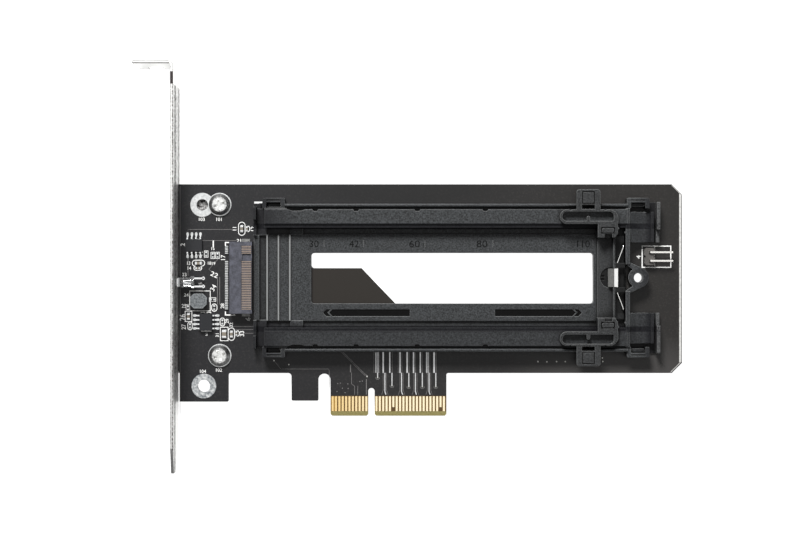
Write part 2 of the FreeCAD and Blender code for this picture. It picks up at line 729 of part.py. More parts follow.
def rail_cuts():
    """Detent notches for the drive lengths, and the wider lead-in at the socket end."""
    outer, edge, deep = GROOVE_D[1] - 0.02, GROOVE_D[0] + 0.02, 19.6
    z = (GROOVE_FLOOR, STRIP_H + 1)
    cuts = []
    for length in DRIVE_LENGTHS:
        x = length + NOTCH_OFFSET
        cuts.append(slab([(x - 0.95, outer), (x - 0.95, edge), (x - 0.55, deep),
                          (x + 0.55, deep), (x + 0.95, edge), (x + 0.95, outer)], *z))
    cuts.append(slab([(-24.8, outer), (-24.8, edge), (-23.2, 19.7, 0.8), (-20.6, 19.7, 0.8),
                      (-19.0, edge), (-19.0, outer)], *z))
    return cuts


def snap_loop(x_limits, root):
    """Guard loop at a corner, with the snap leg inside it that grips the board from below.

    root is where the leg joins the frame: its distance out, and its lower and upper height.
    """
    x0, x1 = x_limits
    d0, d1 = LOOP_D
    outer = slab([(x0, d0), (x0, d1, 0.5), (x1, d1, 0.5), (x1, d0)], 0, LOOP_H)
    inside = block((x0 + LOOP_WALL, x1 - LOOP_WALL), (d0 - 1, d1 - LOOP_BAR), (-1, LOOP_H + 1))
    groove = block((x0 + LOOP_WALL, x1 - LOOP_WALL), LOOP_GROOVE_D, (LOOP_H - 0.5, LOOP_H + 1))
    leg_x = (x0 + LOOP_WALL + LEG_GAP, x1 - LOOP_WALL - LEG_GAP)
    hold = -BOARD_T - 0.1
    leg = [(LEG_D[0], hold - 1.0), (LEG_D[1] - 0.3, hold - 1.0), (LEG_D[1] + BARB, hold - 0.35),
           (LEG_D[1] + BARB, hold), (LEG_D[1], hold), (LEG_D[1], LEG_H, 0.3), (LEG_D[0], LEG_H)]
    arm = block(leg_x, (root[0], LEG_D[0] + 0.2), root[1:])
    return [outer.cut([inside, groove]), prism_x(leg, *leg_x), arm]


def end_ear():
    """Seat with a hollow top beside the end wall, and the upright flap beyond it."""
    x0, x1 = EAR_X
    high, low = 4.4, 4.0
    section = [(x0 - 0.5, 0), (x1, 0), (x1, low), (x1 - 0.7, low), (x1 - 0.8, low - 0.5),
               (79.9, 1.9, 3.5), (x0 + 0.2, high), (x0 - 0.5, high)]
    seat = prism_y(section, *EAR_D)
    floor = block((WALL_X[0], FLAP_X[1]), (EAR_D[0], LOOP_D[0] + 1.9), (0, 0.8))
    opening = block((LOOP_RIGHT_X[0] + LOOP_WALL, LOOP_RIGHT_X[1] - LOOP_WALL),
                    (LEG_D[0] + 0.1, LOOP_D[1]), (-1, 1))
    flap = prism_x([(EAR_D[0], 0), (FLAP_D[1], 0), (FLAP_D[1], 4.9, 0.3), (FLAP_D[0], 4.9, 0.3),
                    (FLAP_D[0], 2.4), (EAR_D[0], 2.4)], *FLAP_X)
    return [seat, floor.cut(opening), flap]


def end_wall_and_lug():
    """Wall across the far end, jogging round the lug for the drive cover's screw."""
    x0, x1 = WALL_X
    wall = block((x0, x1), (4.0, WALL_D), (0, 5.2))
    strut = slab([(x0, 3.9), (x0, 5.2), (x1, 4.56), (79.9, 2.75), (LUG_X, 0), (77.0, 2.5)],
                 0, LUG_H)
    bump = disc(x0, 13.3, 0.35, 3.0, 4.9)
    shapes = both_sides(wall) + both_sides(strut) + both_sides(bump)
    return shapes + [disc(LUG_X, 0, LUG_R, 0, LUG_H)]


def socket_end():
    """Lip, low walls and cross ribs at the end next to the drive socket."""
    x0 = FRAME_LEFT
    lip = block((x0 + 0.1, x0 + 1.65), (-12.6, 12.6), (0, 2.0))
    key = fused([block((KEY_START, KEY_END), (LOOP_D[0] - 0.4, KEY_OUT), (0, 1.2)),
                 block((KEY_START, KEY_END), (SLOT_D[0] + SLOT_PLAY, KEY_OUT), (-1.4, 0.5))])
    floor = block((x0 + 0.1, WALL_X[0] + 0.5), (-RAIL_IN - 0.2, RAIL_IN + 0.2), (0, FLOOR_T))
    wall_high = block((x0, x0 + 0.9), (17.1, 20.9), (0, 5.3))
    wall_low = block((x0, x0 + 0.9), (12.5, 17.2), (0, 3.4))
    pocket = block((x0, RAIL_LEFT + 0.5), (12.5, LOOP_D[0]), (0, 1.5))
    root = block((RAIL_LEFT, BEAD_LEFT + 0.6), (19.3, LOOP_D[0] + 0.1), (0, STRIP_H - 0.3))
    ribs = [block((x - CROSS_RIB_W / 2, x + CROSS_RIB_W / 2), (-12.7, 12.7), (0.5, 2.1))
            for x in CROSS_RIB_X]
    sides = [wall_high, wall_low, pocket, root]
    return [lip, floor, key] + ribs + sides + [mirrored(s) for s in sides]


def plate_cuts():
    """Window, and the pointed bars and chevrons pressed into the lower band."""
    left, right = WINDOW_X
    low, high = WINDOW_D
    window = slab([(left, high, WINDOW_R), (right, high, WINDOW_R), (right, low, WINDOW_R),
                   (left, low, WINDOW_R)], -1, PLATE_T + 1)
    z = (PLATE_T - ARROW_DEEP, PLATE_T + 1)
    half = ARROW_W / 2
    cuts = [window]
    for inner, tip, way in ((11.4, -14.3, -1), (36.6, 62.3, 1)):
        d0, d1 = ARROW_D - half, ARROW_D + half
        root = tip - way * 1.7
        bar_tip = root - way * 0.1
        cuts.append(slab([(inner, d0), (bar_tip - way, d0), (bar_tip, ARROW_D),
                          (bar_tip - way, d1), (inner, d1)], *z))
        cuts.append(slab([(root - way * 0.6, d0), (tip - way, d0), (tip, ARROW_D), (tip - way, d1),
                          (root - way * 0.6, d1), (root + way * 0.4, ARROW_D)], *z))
    return cuts


def carrier_frame():
    """One black moulding: rails, perforated plate, end walls, snap legs and screw lug."""
    plate = block(PLATE_X, (-PLATE_D, PLATE_D), (0, PLATE_T))
    side = [rail_strip(), rail_bead()] + snap_loop(LOOP_LEFT_X, LEG_ROOT_LEFT)
    side += snap_loop(LOOP_RIGHT_X, LEG_ROOT_RIGHT)
    side += end_ear()
    side.append(block((-24.0, -20.2), (12.7, 15.8), (0, 1.7)))
    whole = [plate] + socket_end() + end_wall_and_lug() + side + [mirrored(s) for s in side]
    frame = fused(whole)
    cuts = plate_cuts() + [disc(LUG_X, 0, LUG_HOLE_R, -1, LUG_H + 1)]
    for cut in rail_cuts():
        cuts += both_sides(cut)
    return on_carrier(frame.cut(cuts).removeSplitter())


# --- length slider -------------------------------------------------------------------------
def finger_tab():
    """U-shaped finger tab outside the rail, joined to the stiff bar of the spring loop."""
    x0, x1 = TAB_X
    d0, d1 = TAB_D
    tab = slab([(x0, d0 - 0.3), (x0, d1, 0.9), (x1, d1, 0.9), (x1, d0 - 0.3)], 6.0, SLIDER_H)
    eye = block(EYE_X, EYE_D, (5, SLIDER_H + 1))
    px, pd = PAD_X, PAD_D
    groove = block(px, pd, (SLIDER_H - GROOVE_DEEP, SLIDER_H + 1))
    inner = block((px[0] + GROOVE_W, px[1] - GROOVE_W), (pd[0] + GROOVE_W, pd[1] - GROOVE_W),
                  (SLIDER_H - 1, SLIDER_H - 0.1))
    grip = slab([(px[0], 22.1), (px[0], d1 - 0.6, 0.5), (px[1], d1 - 0.6, 0.5), (px[1], 22.1)],
                1.2, 6.1)
    tooth = prism_x([(19.7, 5.6), (20.35, RIDE_H), (20.35, 4.2), (20.65, 4.2), (20.65, 5.7),
                     (20.1, 6.8), (19.7, 6.8)], 63.0, 64.2)
    return fused([tab.cut([eye, groove]), inner, grip, tooth])


def spring_loop():
    """Closed spring loop that rides on the rail, with thin necks beside the stiff bar."""
    x0, x1 = LOOP_X
    d0, d1 = FLEX_D
    outer = slab([(x0, d0, 2.08), (x0, d1, 2.08), (x1, d1, 2.6), (x1, d0)], RIDE_H, SLIDER_H)
    sx, sd = FLEX_SLOT_X, FLEX_SLOT_D
    slot = slab([(sx[0], sd[0], 1.33), (sx[0], sd[1], 1.33), (sx[1], sd[1], 1.3),
                 (sx[1], sd[0], 0.3)], RIDE_H - 1, SLIDER_H + 1)
    necks = [slab([(BAR_X[0] - 0.9, d1 + 1), (BAR_X[0] - 0.9, d1 - 0.01),
                   (BAR_X[0] - 0.55, d1 - NECK_W + 0.1), (BAR_X[0] - 0.15, d1 - NECK_W + 0.1),
                   (BAR_X[0], d1 + 1)], RIDE_H - 1, SLIDER_H + 1),
             slab([(BAR_X[1] + 0.9, d1 + 1), (BAR_X[1] + 0.9, d1 - 0.01),
                   (BAR_X[1] + 0.55, d1 - NECK_W + 0.1), (BAR_X[1] + 0.15, d1 - NECK_W + 0.1),
                   (BAR_X[1], d1 + 1)], RIDE_H - 1, SLIDER_H + 1)]
    peg = slab([(PEG_X[0], sd[0] - 0.3), (PEG_X[0], PEG_D, 0.45), (PEG_X[1], PEG_D, 0.45),
                (PEG_X[1], sd[0] - 0.3)], RIDE_H, SLIDER_H)
    return fused([outer.cut([slot] + necks), peg])


def slider_block():
    """Body between loop and bridge, with its hook under the rail's inner lip."""
    x0, x1 = BLOCK_X
    d0, d1 = BLOCK_D
    top = slab([(x0, d0, 0.3), (x0, d1), (x1, d1), (x1, d0 + 1.2, 0.4), (x1 - 0.9, d0, 0.3)],
               RIDE_H, SLIDER_H)
    foot = block((x0, x1 - 0.4), (d0, LIP_D - 0.25), (PLATE_T + 0.1, RIDE_H + 0.1))
    hook = block((x0 + 0.3, x1 - 0.8), (PLATE_D + 0.25, LIP_D + 0.7), (FLOOR_T + 0.3, 3.8))
    ring = slab(pill(PILL_X, PILL_D, PILL_W), SLIDER_H - GROOVE_DEEP, SLIDER_H + 1)
    island_x = (PILL_X[0] + GROOVE_W, PILL_X[1] - GROOVE_W)
    island = slab(pill(island_x, PILL_D, PILL_W - 2 * GROOVE_W), SLIDER_H - 1, SLIDER_H + 2)
    groove = ring.cut(island)
    notch = block((68.4, 70.7), (d0 - 1, 12.85), (SLIDER_H - 1.6, SLIDER_H + 1))
    pip = disc(x1, 14.45, 0.35, RIDE_H, SLIDER_H)
    return fused([top, foot, hook, pip]).cut([groove, notch])


def pill(x_limits, d, wide):
    """Bar with its four corners cut off."""
    x0, x1 = x_limits
    half, cut = wide / 2, wide * 0.29
    return [(x0, d - half + cut), (x0, d + half - cut), (x0 + cut, d + half), (x1 - cut, d + half),
            (x1, d + half - cut), (x1, d - half + cut), (x1 - cut, d - half), (x0 + cut, d - half)]


def slider_bridge():
    """Bridge under the drive's end, with a round recess at the catch, and the rear shelf."""
    low, high = BRIDGE_H
    span = BLOCK_D[0] + 0.5
    bridge = block((BLOCK_X[0] + 0.3, SLIDER_END), (-span, span), (low, high))
    recess = disc(70.6, 0, 3.0, high - 0.4, high + 1)
    pockets = both_sides(block((67.8, 68.9), (0.25, 0.7), (low - 1, high + 1)))
    edge = block(SLIDER_RIB_X, (SLIDER_RIB_D, span), (high - 0.3, 4.6))
    x, d = SPRING_END
    hole = block((x - 0.25, x + 0.25), (d - 0.25, d + 0.25), (low - 1, high + 1))
    step = block((71.8, SLIDER_END + 1), (-span, span), (high - 0.25, high + 1))
    hood = block((SLIDER_RIB_X[1] - 0.1, SLIDER_END), HOOD_D, HOOD_H)
    floor = bridge.cut([recess, step] + both_sides(hole) + pockets)
    return fused([floor] + both_sides(edge) + both_sides(hood))


def length_slider():
    """One moulding: two pinch tabs on spring loops, two blocks, bridge and shelf."""
    half = [finger_tab(), spring_loop(), slider_block()]
    return on_carrier(fused([slider_bridge()] + half + [mirrored(s) for s in half]))


# --- catch and its spring ------------------------------------------------------------------
def catch():
    """Folded steel catch: sloping nose over the drive's end, flat top and upright back."""
    nose, ridge, back, high, t = 69.85, 71.55, 72.35, 5.0, CATCH_T
    brow = back + 0.27
    section = [(nose, 3.3), (ridge, high), (brow, high), (brow, high - t), (back, high - t),
               (back, CATCH_FOOT), (back - t, CATCH_FOOT), (back - t, high - t),
               (ridge + 0.17, high - t), (nose + 0.3, 3.02)]
    return on_carrier(prism_y(section, -CATCH_W / 2, CATCH_W / 2))


def catch_spring():
    """Wire bow behind the catch; its ends stand in holes in the slider's shelf."""
    z, foot = 3.6, 2.1
    back, knee_d = 72.58, 4.4
    far_x, far_d = 74.25, 8.8
    half = [(V(SPRING_END[0], SPRING_END[1], foot), 0), (V(SPRING_END[0], SPRING_END[1], z), 0.45),
            (V(far_x, far_d, z), 0.6), (V(back, knee_d, z), 1.5)]
    rest = [(V(point.x, -point.y, point.z), radius) for point, radius in reversed(half)]
    path = rounded_path(half + rest, False)
    start = half[0][0]
    ring = [start + V(WIRE_R * math.cos(i * math.pi / 3), WIRE_R * math.sin(i * math.pi / 3), 0)
            for i in range(7)]
    return on_carrier(path.makePipeShell([Part.makePolygon(ring)], True, False, 1))


# --- the whole card ------------------------------------------------------------------------
def main():
    os.makedirs("parts", exist_ok=True)
    export("circuit_board", circuit_board())
    export("edge_fingers_top", edge_fingers(1, (17, 31), (1,)))
    export("edge_fingers_under", edge_fingers(-1, (1,), (2,)))
    export("foot_hole_pads", hole_pads(FOOT_HOLE, FOOT_HOLE_R, FOOT_PAD_R))
    export("spare_hole_pads", hole_pads(SPARE_HOLE, SPARE_HOLE_R, SPARE_PAD_R))
    export("bracket", bracket())
    export("bracket_screw_upper", bracket_screw(SCREW_HIGH))
    export("bracket_screw_lower", bracket_screw(SCREW_LOW))
    export("drive_socket_housing", on_carrier(socket_housing()))
    export("drive_socket_contacts", [on_carrier(s) for s in socket_contacts()])
    export("drive_socket_leads", [on_carrier(s) for s in socket_leads()])
    export("drive_socket_nails", [on_carrier(s) for s in socket_nails()])
    export("upper_chip_body", chip_body(UPPER_CHIP, 0))
    export("upper_chip_leads", chip_leads(UPPER_CHIP, 0))
    export("lower_chip_body", chip_body(LOWER_CHIP, 90))
    export("lower_chip_leads", chip_leads(LOWER_CHIP, 90))
    export("inductor_core", inductor_core())
    export("inductor_coil", inductor_coil())
    export("inductor_terminals", inductor_terminals())
    export("led_lens", led_lens())
    export("led_leads", led_leads())
    bodies, ends = small_parts(CAPACITORS)
    export("capacitor_bodies", bodies)
    export("capacitor_ends", ends)
    bodies, ends = small_parts(RESISTORS)
    export("resistor_bodies", bodies)
    export("resistor_ends", ends)
    export("header_base", header_base())
    export("header_pins", header_pins())
    export("carrier_frame", carrier_frame())
    export("length_slider", length_slider())
    export("drive_catch", catch())
    export("catch_spring", catch_spring())


main()
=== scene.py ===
import math
import bmesh
import bpy
from mathutils import Matrix, Vector


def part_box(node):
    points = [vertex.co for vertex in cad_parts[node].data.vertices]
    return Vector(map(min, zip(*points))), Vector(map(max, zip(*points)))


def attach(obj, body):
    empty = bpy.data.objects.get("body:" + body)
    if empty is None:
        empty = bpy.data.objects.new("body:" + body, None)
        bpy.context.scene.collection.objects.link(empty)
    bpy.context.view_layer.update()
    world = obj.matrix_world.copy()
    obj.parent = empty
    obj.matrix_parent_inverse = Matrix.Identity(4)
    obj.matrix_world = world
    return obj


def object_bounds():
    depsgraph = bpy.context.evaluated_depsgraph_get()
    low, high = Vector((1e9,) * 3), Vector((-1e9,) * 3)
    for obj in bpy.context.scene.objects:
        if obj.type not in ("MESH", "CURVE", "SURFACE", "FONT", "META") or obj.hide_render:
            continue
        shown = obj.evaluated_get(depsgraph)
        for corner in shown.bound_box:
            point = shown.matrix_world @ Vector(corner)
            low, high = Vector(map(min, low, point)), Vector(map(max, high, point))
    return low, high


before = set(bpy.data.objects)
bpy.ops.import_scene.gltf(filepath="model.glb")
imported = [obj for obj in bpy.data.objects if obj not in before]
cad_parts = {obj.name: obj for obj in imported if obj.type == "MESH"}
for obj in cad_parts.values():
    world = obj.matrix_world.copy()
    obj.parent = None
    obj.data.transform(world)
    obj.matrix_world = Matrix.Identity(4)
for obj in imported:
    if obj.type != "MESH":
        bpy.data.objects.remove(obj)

cad_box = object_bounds()

# --- The table, the light and the camera ---------------------------------------------------
# The card lies on a glowing white sheet. A small softbox overhead is mirrored in its flat metal,
# and a hard key light from the back left lights the edges and leaves the grooves black. The
# camera hangs over the card.
MM = 0.001


def colour(code):
    """An sRGB colour such as #8C6A3F, turned linear."""
    parts = [int(code[i:i + 2], 16) / 255 for i in (1, 3, 5)]
    return [c / 12.92 if c <= 0.04045 else ((c + 0.055) / 1.055) ** 2.4 for c in parts] + [1.0]


def fill(node, values):
    """Each value is a number, a colour, a node's output, or a node, for its first output."""
    for name, value in values.items():
        if isinstance(value, bpy.types.Node):
            value = value.outputs[0]
        if isinstance(value, bpy.types.NodeSocket):
            node.id_data.links.new(value, node.inputs[name])
        else:
            node.inputs[name].default_value = value


def add(tree, kind, values, **settings):
    """One shader node with its settings and its links."""
    made = tree.nodes.new("ShaderNode" + kind)
    for name, setting in settings.items():
        setattr(made, name, setting)
    fill(made, values)
    return made


def surface(name, **values):
    """A new material with these values on its shader, such as Base_Color, and its own axes."""
    made = bpy.data.materials.new(name)
    made.use_nodes = True
    tree = made.node_tree
    shader = tree.nodes["Principled BSDF"]
    fill(shader, {socket.replace("_", " "): value for socket, value in values.items()})
    return made, tree, shader, add(tree, "TexCoord", {}).outputs["Object"]


def uneven(name, grain, detail, strength, depth, **values):
    """A finish of one tone on an uneven face, whose grain's width and depth are in millimetres."""
    made, tree, shader, place = surface(name, **values)
    grains = add(tree, "TexNoise", {"Vector": place, "Scale": 1 / (grain * MM), "Detail": detail})
    fill(shader, {"Normal": add(tree, "Bump", {"Height": grains, "Strength": strength,
                                               "Distance": depth * MM})})
    return made


# Matt paper that glows like a light table, so that it stays white with hardly a shadow on it.
paper = uneven("matt_white_paper", 2.0, 4.0, 0.05, 0.1, Base_Color=colour("#8E8E8D"), Roughness=0.9,
               Emission_Color=colour("#FFFFFF"), Emission_Strength=1.0)
SHEET_SIZE = 4.0
bpy.ops.mesh.primitive_plane_add(size=SHEET_SIZE, location=(0, 0, cad_box[0][2]))
sheet = bpy.context.object
sheet.name = "paper_sheet"
sheet.data.materials.append(paper)

world = bpy.data.worlds.new("dim_studio")
world.use_nodes = True
world.node_tree.nodes["Background"].inputs["Color"].default_value = colour("#FBFCFF")
world.node_tree.nodes["Background"].inputs["Strength"].default_value = 0.05
bpy.context.scene.world = world

softboxes = (("softbox_overhead", (0.02, -0.02, 1.6), 0.95, 3.2),
             ("key_back_left", (-0.2, 0.85, 0.85), 0.36, 27.0),
             ("fill_right", (0.95, -0.2, 0.6), 0.5, 2.5))
for name, place, size, power in softboxes:
    light = bpy.data.lights.new(name, "AREA")
    light.size = size
    light.energy = power
    lamp = bpy.data.objects.new(name, light)
    lamp.location = place
    lamp.rotation_euler = (-Vector(place)).to_track_quat("-Z", "Y").to_euler()
    bpy.context.collection.objects.link(lamp)

CAMERA_AT = (8.48, 44.3, 617.8)
camera_data = bpy.data.cameras.new("camera")
camera_data.sensor_width = 36.0
camera_data.lens = 93.6
camera_data.clip_start = 0.05
camera = bpy.data.objects.new("camera", camera_data)
camera.location = [c * MM for c in CAMERA_AT]
bpy.context.collection.objects.link(camera)
bpy.context.scene.camera = camera
bpy.context.scene.view_settings.view_transform = "Standard"

# --- Circuit board -------------------------------------------------------------------------
# Glass-epoxy laminate, routed and drilled, under matt black solder mask. The mask stops above
# the edge contacts, where the pale laminate and its bevel show.
low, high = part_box("circuit_board")
BOARD_TOP = high.z / MM
BOARD_UNDER = low.z / MM
CENTRE_Y = 41.0              # the drive's centre line: socket, carrier and slider lie evenly on it


def dress(node, material):
    """Gives a CAD node its finish."""
    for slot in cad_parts[node].material_slots:
        slot.material = material


# The mask is a dull black with pale dust in it. Painted light makes it a little paler and warmer to
# the right and paler at the far lower corner, painted shade darkens it above the carrier, and it
# shows brown laminate in the window.
solder_mask, tree, shader, place = surface("matt_black_solder_mask", Roughness=0.42,
                                           Specular_IOR_Level=0.36)
axes = add(tree, "SeparateXYZ", {"Vector": place})
# Painted light: the mask is painted paler and warmer towards the right.
across = add(tree, "MapRange", {"Value": axes.outputs["X"], "From Min": -50 * MM,
                                "From Max": 80 * MM})
painted_light_to_right = add(tree, "MixRGB", {"Fac": across, "Color1": colour("#121215"),
                               "Color2": colour("#191715")})
specks = add(tree, "TexNoise", {"Vector": place, "Scale": 1 / (0.5 * MM), "Detail": 4.0,
                                "Roughness": 0.7})
dusting = add(tree, "MapRange", {"Value": specks, "From Min": 0.52, "From Max": 0.8,
                                 "To Max": 0.35})
ink = add(tree, "MixRGB", {"Fac": dusting, "Color1": painted_light_to_right, "Color2": colour("#4A4644")})
# Painted shade darkens the mask above the carrier, and painted light brightens it at the far lower
# corner. The third patch is the brown laminate seen in the window.
for spot, reach, core, most, tone in (((10, 67, 0.8), (38, 6, 9), 0.5, 0.6, "#020202"),
                                      ((72, 12, 0.8), (34, 14, 9), 0.5, 0.6, "#403E3D"),
                                      ((-5, 39, 2.8), (30, 16, 3), 0.95, 1.0, "#1A150F")):
    apart = add(tree, "VectorMath", {0: place, 1: [c * MM for c in spot]}, operation="SUBTRACT")
    near = add(tree, "VectorMath", {0: apart, 1: [1 / r for r in reach]}, operation="MULTIPLY")
    near = add(tree, "VectorMath", {0: near}, operation="LENGTH")
    patch = add(tree, "MapRange", {"Value": near.outputs["Value"], "From Min": 1.0 * MM,
                                   "From Max": core * MM, "To Max": most})
    ink = add(tree, "MixRGB", {"Fac": patch, "Color1": ink, "Color2": colour(tone)})

# The tongue below the mask's end is brown laminate, and its bevel shows the pale ends of the glass.
MASK_END, BEVEL_END, HOOK_END = 5.95, 1.36, -13.0
below_mask = add(tree, "Math", {0: axes.outputs["Y"], 1: MASK_END * MM}, operation="LESS_THAN")
past_hook = add(tree, "Math", {0: axes.outputs["X"], 1: HOOK_END * MM}, operation="GREATER_THAN")
bare = add(tree, "Math", {0: below_mask, 1: past_hook}, operation="MULTIPLY")
bevelled = add(tree, "Math", {0: axes.outputs["Y"], 1: BEVEL_END * MM}, operation="LESS_THAN")
glass_ends = add(tree, "MixRGB", {"Fac": specks, "Color1": colour("#6E6538"),
                                  "Color2": colour("#B0A672")})
laminate = add(tree, "MixRGB", {"Fac": bevelled, "Color1": colour("#4A3618"),
                                "Color2": glass_ends})
face = add(tree, "MixRGB", {"Fac": bare, "Color1": ink, "Color2": laminate})
weave = add(tree, "TexNoise", {"Vector": place, "Scale": 1 / (0.35 * MM), "Detail": 3.0})
woven = add(tree, "Bump", {"Height": weave, "Strength": 0.12, "Distance": 0.02 * MM})
fill(shader, {"Base Color": face, "Normal": woven})
dress("circuit_board", solder_mask)


# --- Tracks and vias under the mask --------------------------------------------------------
# Etched copper lines lift the mask by their own thickness and show through it a little paler.
# Vias are drilled, plated and tented, with a bright dimple.
def line(points, width, closed=False):
    """Outline of a line of even width, mitred at its corners. A closed line gives two halves."""
    points = [Vector(p) for p in points]
    count = len(points)
    sides = []
    for i, point in enumerate(points):
        ways = []
        if closed or i > 0:
            ways.append((point - points[i - 1]).normalized())
        if closed or i < count - 1:
            ways.append((points[(i + 1) % count] - point).normalized())
        along = sum(ways, Vector((0, 0))).normalized()
        reach = width / 2 / max(0.4, along.dot(ways[0]))
        sides.append((point + Vector((-along.y, along.x)) * reach,
                      point - Vector((-along.y, along.x)) * reach))
    if not closed:
        return [[s[0] for s in sides] + [s[1] for s in reversed(sides)]]
    sides.append(sides[0])
    middle = len(sides) // 2
    return [[s[0] for s in half] + [s[1] for s in reversed(half)]
            for half in (sides[:middle + 1], sides[middle:])]


def ring_points(x, y, radius, count=20):
    """Corners of a round outline."""
    return [Vector((x + radius * math.cos(2 * math.pi * i / count),
                    y + radius * math.sin(2 * math.pi * i / count))) for i in range(count)]


def rectangle(x, y, wide, deep):
    """Corners of a rectangle round a middle point."""
    return [Vector((x - wide / 2, y - deep / 2)), Vector((x + wide / 2, y - deep / 2)),
            Vector((x + wide / 2, y + deep / 2)), Vector((x - wide / 2, y + deep / 2))]


def finished(shape, name, material):
    """Turns a shape into a piece of the card with its finish."""
    mesh = bpy.data.meshes.new(name)
    shape.to_mesh(mesh)
    shape.free()
    mesh.materials.append(material)
    piece = bpy.data.objects.new(name, mesh)
    bpy.context.collection.objects.link(piece)
    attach(piece, "card")


def raised(name, outlines, low, high, material):
    """One piece of flat shapes that stand from low to high, all in millimetres."""
    shape = bmesh.new()
    for outline in outlines:
        under = [shape.verts.new((x * MM, y * MM, low * MM)) for x, y in outline]
        over = [shape.verts.new((x * MM, y * MM, high * MM)) for x, y in outline]
        shape.faces.new(over)
        shape.faces.new(list(reversed(under)))
        for i in range(len(outline)):
            shape.faces.new((under[i - 1], under[i], over[i], over[i - 1]))
    bmesh.ops.recalc_face_normals(shape, faces=shape.faces[:])
    finished(shape, name, material)


def mottled(name, grain, detail, dark, light, **values):
    """A finish that wanders between two tones, in grains of this width in millimetres."""
    made, tree, shader, place = surface(name, **values)
    grains = add(tree, "TexNoise", {"Vector": place, "Scale": 1 / (grain * MM), "Detail": detail})
    fill(shader, {"Base Color": add(tree, "MixRGB", {"Fac": grains, "Color1": colour(dark),
                                                     "Color2": colour(light)})})
    return made


# Mask over copper: a cloudy dark grey, paler than the mask beside it.
masked_copper = mottled("mask_over_copper", 0.6, 3.0, "#4A484A", "#7E7C7A", Roughness=0.36)
# Feeders come down from the socket's side, split, and fan out to the contacts.
TRACK_H = 0.035
upper, split, lower = 18.9, 12.75, 6.3
tracks, feeders = [], []
for x, wide in ((1.35, 0.25), (1.95, 0.25), (3.5, 0.4), (5.45, 0.35), (8.5, 0.4), (10.6, 0.45),
                (12.5, 0.4), (14.5, 0.35), (16.35, 0.25), (16.8, 0.25), (18.6, 0.5)):
    feeders += line([(x, upper), (x, split)], wide)
for x in (0.75, 2.45, 6.15, 7.95, 9.05, 11.2, 13.1, 15.05, 17.3, 19.25):
    tracks += line([(x, upper), (x, split)], 0.12)
for x in (4.0, 8.95, 13.05, 17.1):
    feeders += line([(x, split), (x, 7.2), (x + 0.3, lower)], 0.28)
    for way in (-0.5, 0.5):
        tracks += line([(x + way, split), (x + way, 7.6), (x + 1.9 * way, lower)], 0.1)
for x, end in ((1.85, 11.6), (6.1, 9.2), (11.1, 8.9), (15.1, 8.9), (19.1, 8.9)):
    feeders += line([(x, split), (x, end)], 0.28)
    hook = [(x + 0.6 * math.cos(a), end - 0.2 + 0.6 * math.sin(a))
            for a in [math.pi * (1 + i / 8) for i in range(9)]]
    tracks += line(hook, 0.12)
for shift in (0.0, 0.5):
    tracks += line([(-8.9 + shift, upper), (-3.3 + shift, 13.3), (-1.75 + shift, 11.9)], 0.1)
tracks += line([(-6.2, 15.2), (-6.2, 12.9)], 0.3)
tracks += line([(-5.9, 12.9), (-5.9, 9.5), (-5.0, 8.8), (-5.0, lower)], 0.12)
tracks += line([(-4.05, 8.9), (-4.05, lower)], 0.12)
tracks += line([(-1.5, 10.9), (-1.5, lower)], 0.2)
for x, y in ((-10.0, 9.6), (-9.2, 9.7), (-7.0, 9.5), (-6.9, 8.1), (-8.6, 8.2), (-10.2, 7.2),
             (-3.4, 10.2), (-2.7, 10.3), (-7.8, 6.9)):
    tracks.append(ring_points(x, y, 0.16, 8))
tracks += line([(-28.9, 16.4), (-26.9, 13.9), (-12.9, 13.9), (-12.5, 13.5), (-12.5, 8.0)], 0.1)
tracks += line([(-54.4, 54.6), (-54.4, 55.3), (-39.9, 55.3)], 0.12)
tracks += line([(-54.4, 55.3), (-54.4, 41.6)], 0.16)
tracks += line([(-50.4, 52.0), (-37.6, 52.0)], 0.12)
for x in (-45.65, -45.0):
    tracks += line([(x, 41.2), (x, 33.0)], 0.16)
tracks += line([(-45.65, 41.2), (-48.2, 43.5), (-46.5, 45.4), (-45.0, 47.0)], 0.12)
tracks += line([(-56.75, 0.5), (-56.75, 68.2)], 0.12)
for y in (26.5, 25.6, 24.5):
    tracks += line([(-41.3, y), (-34.8, y)], 0.12)
raised("board_tracks", tracks, BOARD_TOP, BOARD_TOP + TRACK_H, masked_copper)

# Here the mask is thin and the copper shines through it, a bright silvery grey.
bright_copper = mottled("thin_mask_over_bright_copper", 0.4, 3.0, "#A0A0A2", "#E2E2E2",
                        Metallic=0.55, Roughness=0.3)
raised("board_feeders", feeders, BOARD_TOP, BOARD_TOP + TRACK_H, bright_copper)

# Tinned dimples catch the light as small soft dots.
tinned_via = uneven("tinned_via_dimple", 0.3, 2.0, 0.3, 0.02, Base_Color=colour("#B9B9B4"),
                    Metallic=0.6, Roughness=0.45)
VIA_R = 0.22
via_places = ((-28.9, 16.4), (-24.5, 15.2), (1.85, 11.4), (6.1, 9.0), (11.1, 8.7), (15.1, 8.7),
              (19.1, 8.7), (-1.3, 11.7), (49.4, 16.1), (52.05, 16.05), (54.9, 16.1),
              (57.5, 16.1), (68.65, 16.1), (68.5, 17.2))
raised("board_vias", [ring_points(x, y, VIA_R, 12) for x, y in via_places],
       BOARD_TOP + 0.01, BOARD_TOP + 0.05, tinned_via)

# The mask stops short of the right-hand edge, where the sawn laminate shows as a pale band.
bare_laminate = mottled("sawn_epoxy_glass", 0.7, 4.0, "#8C8B88", "#DCDBD8", Roughness=0.55)
bands = line([(91.6, 15.9), (91.6, 66.3)], 0.6)
bands += line([(89.1, 68.4), (91.8, 65.7)], 0.16) + line([(88.7, 12.9), (91.8, 16.0)], 0.16)
raised("board_bare_edge", bands, BOARD_TOP, BOARD_TOP + 0.02, bare_laminate)

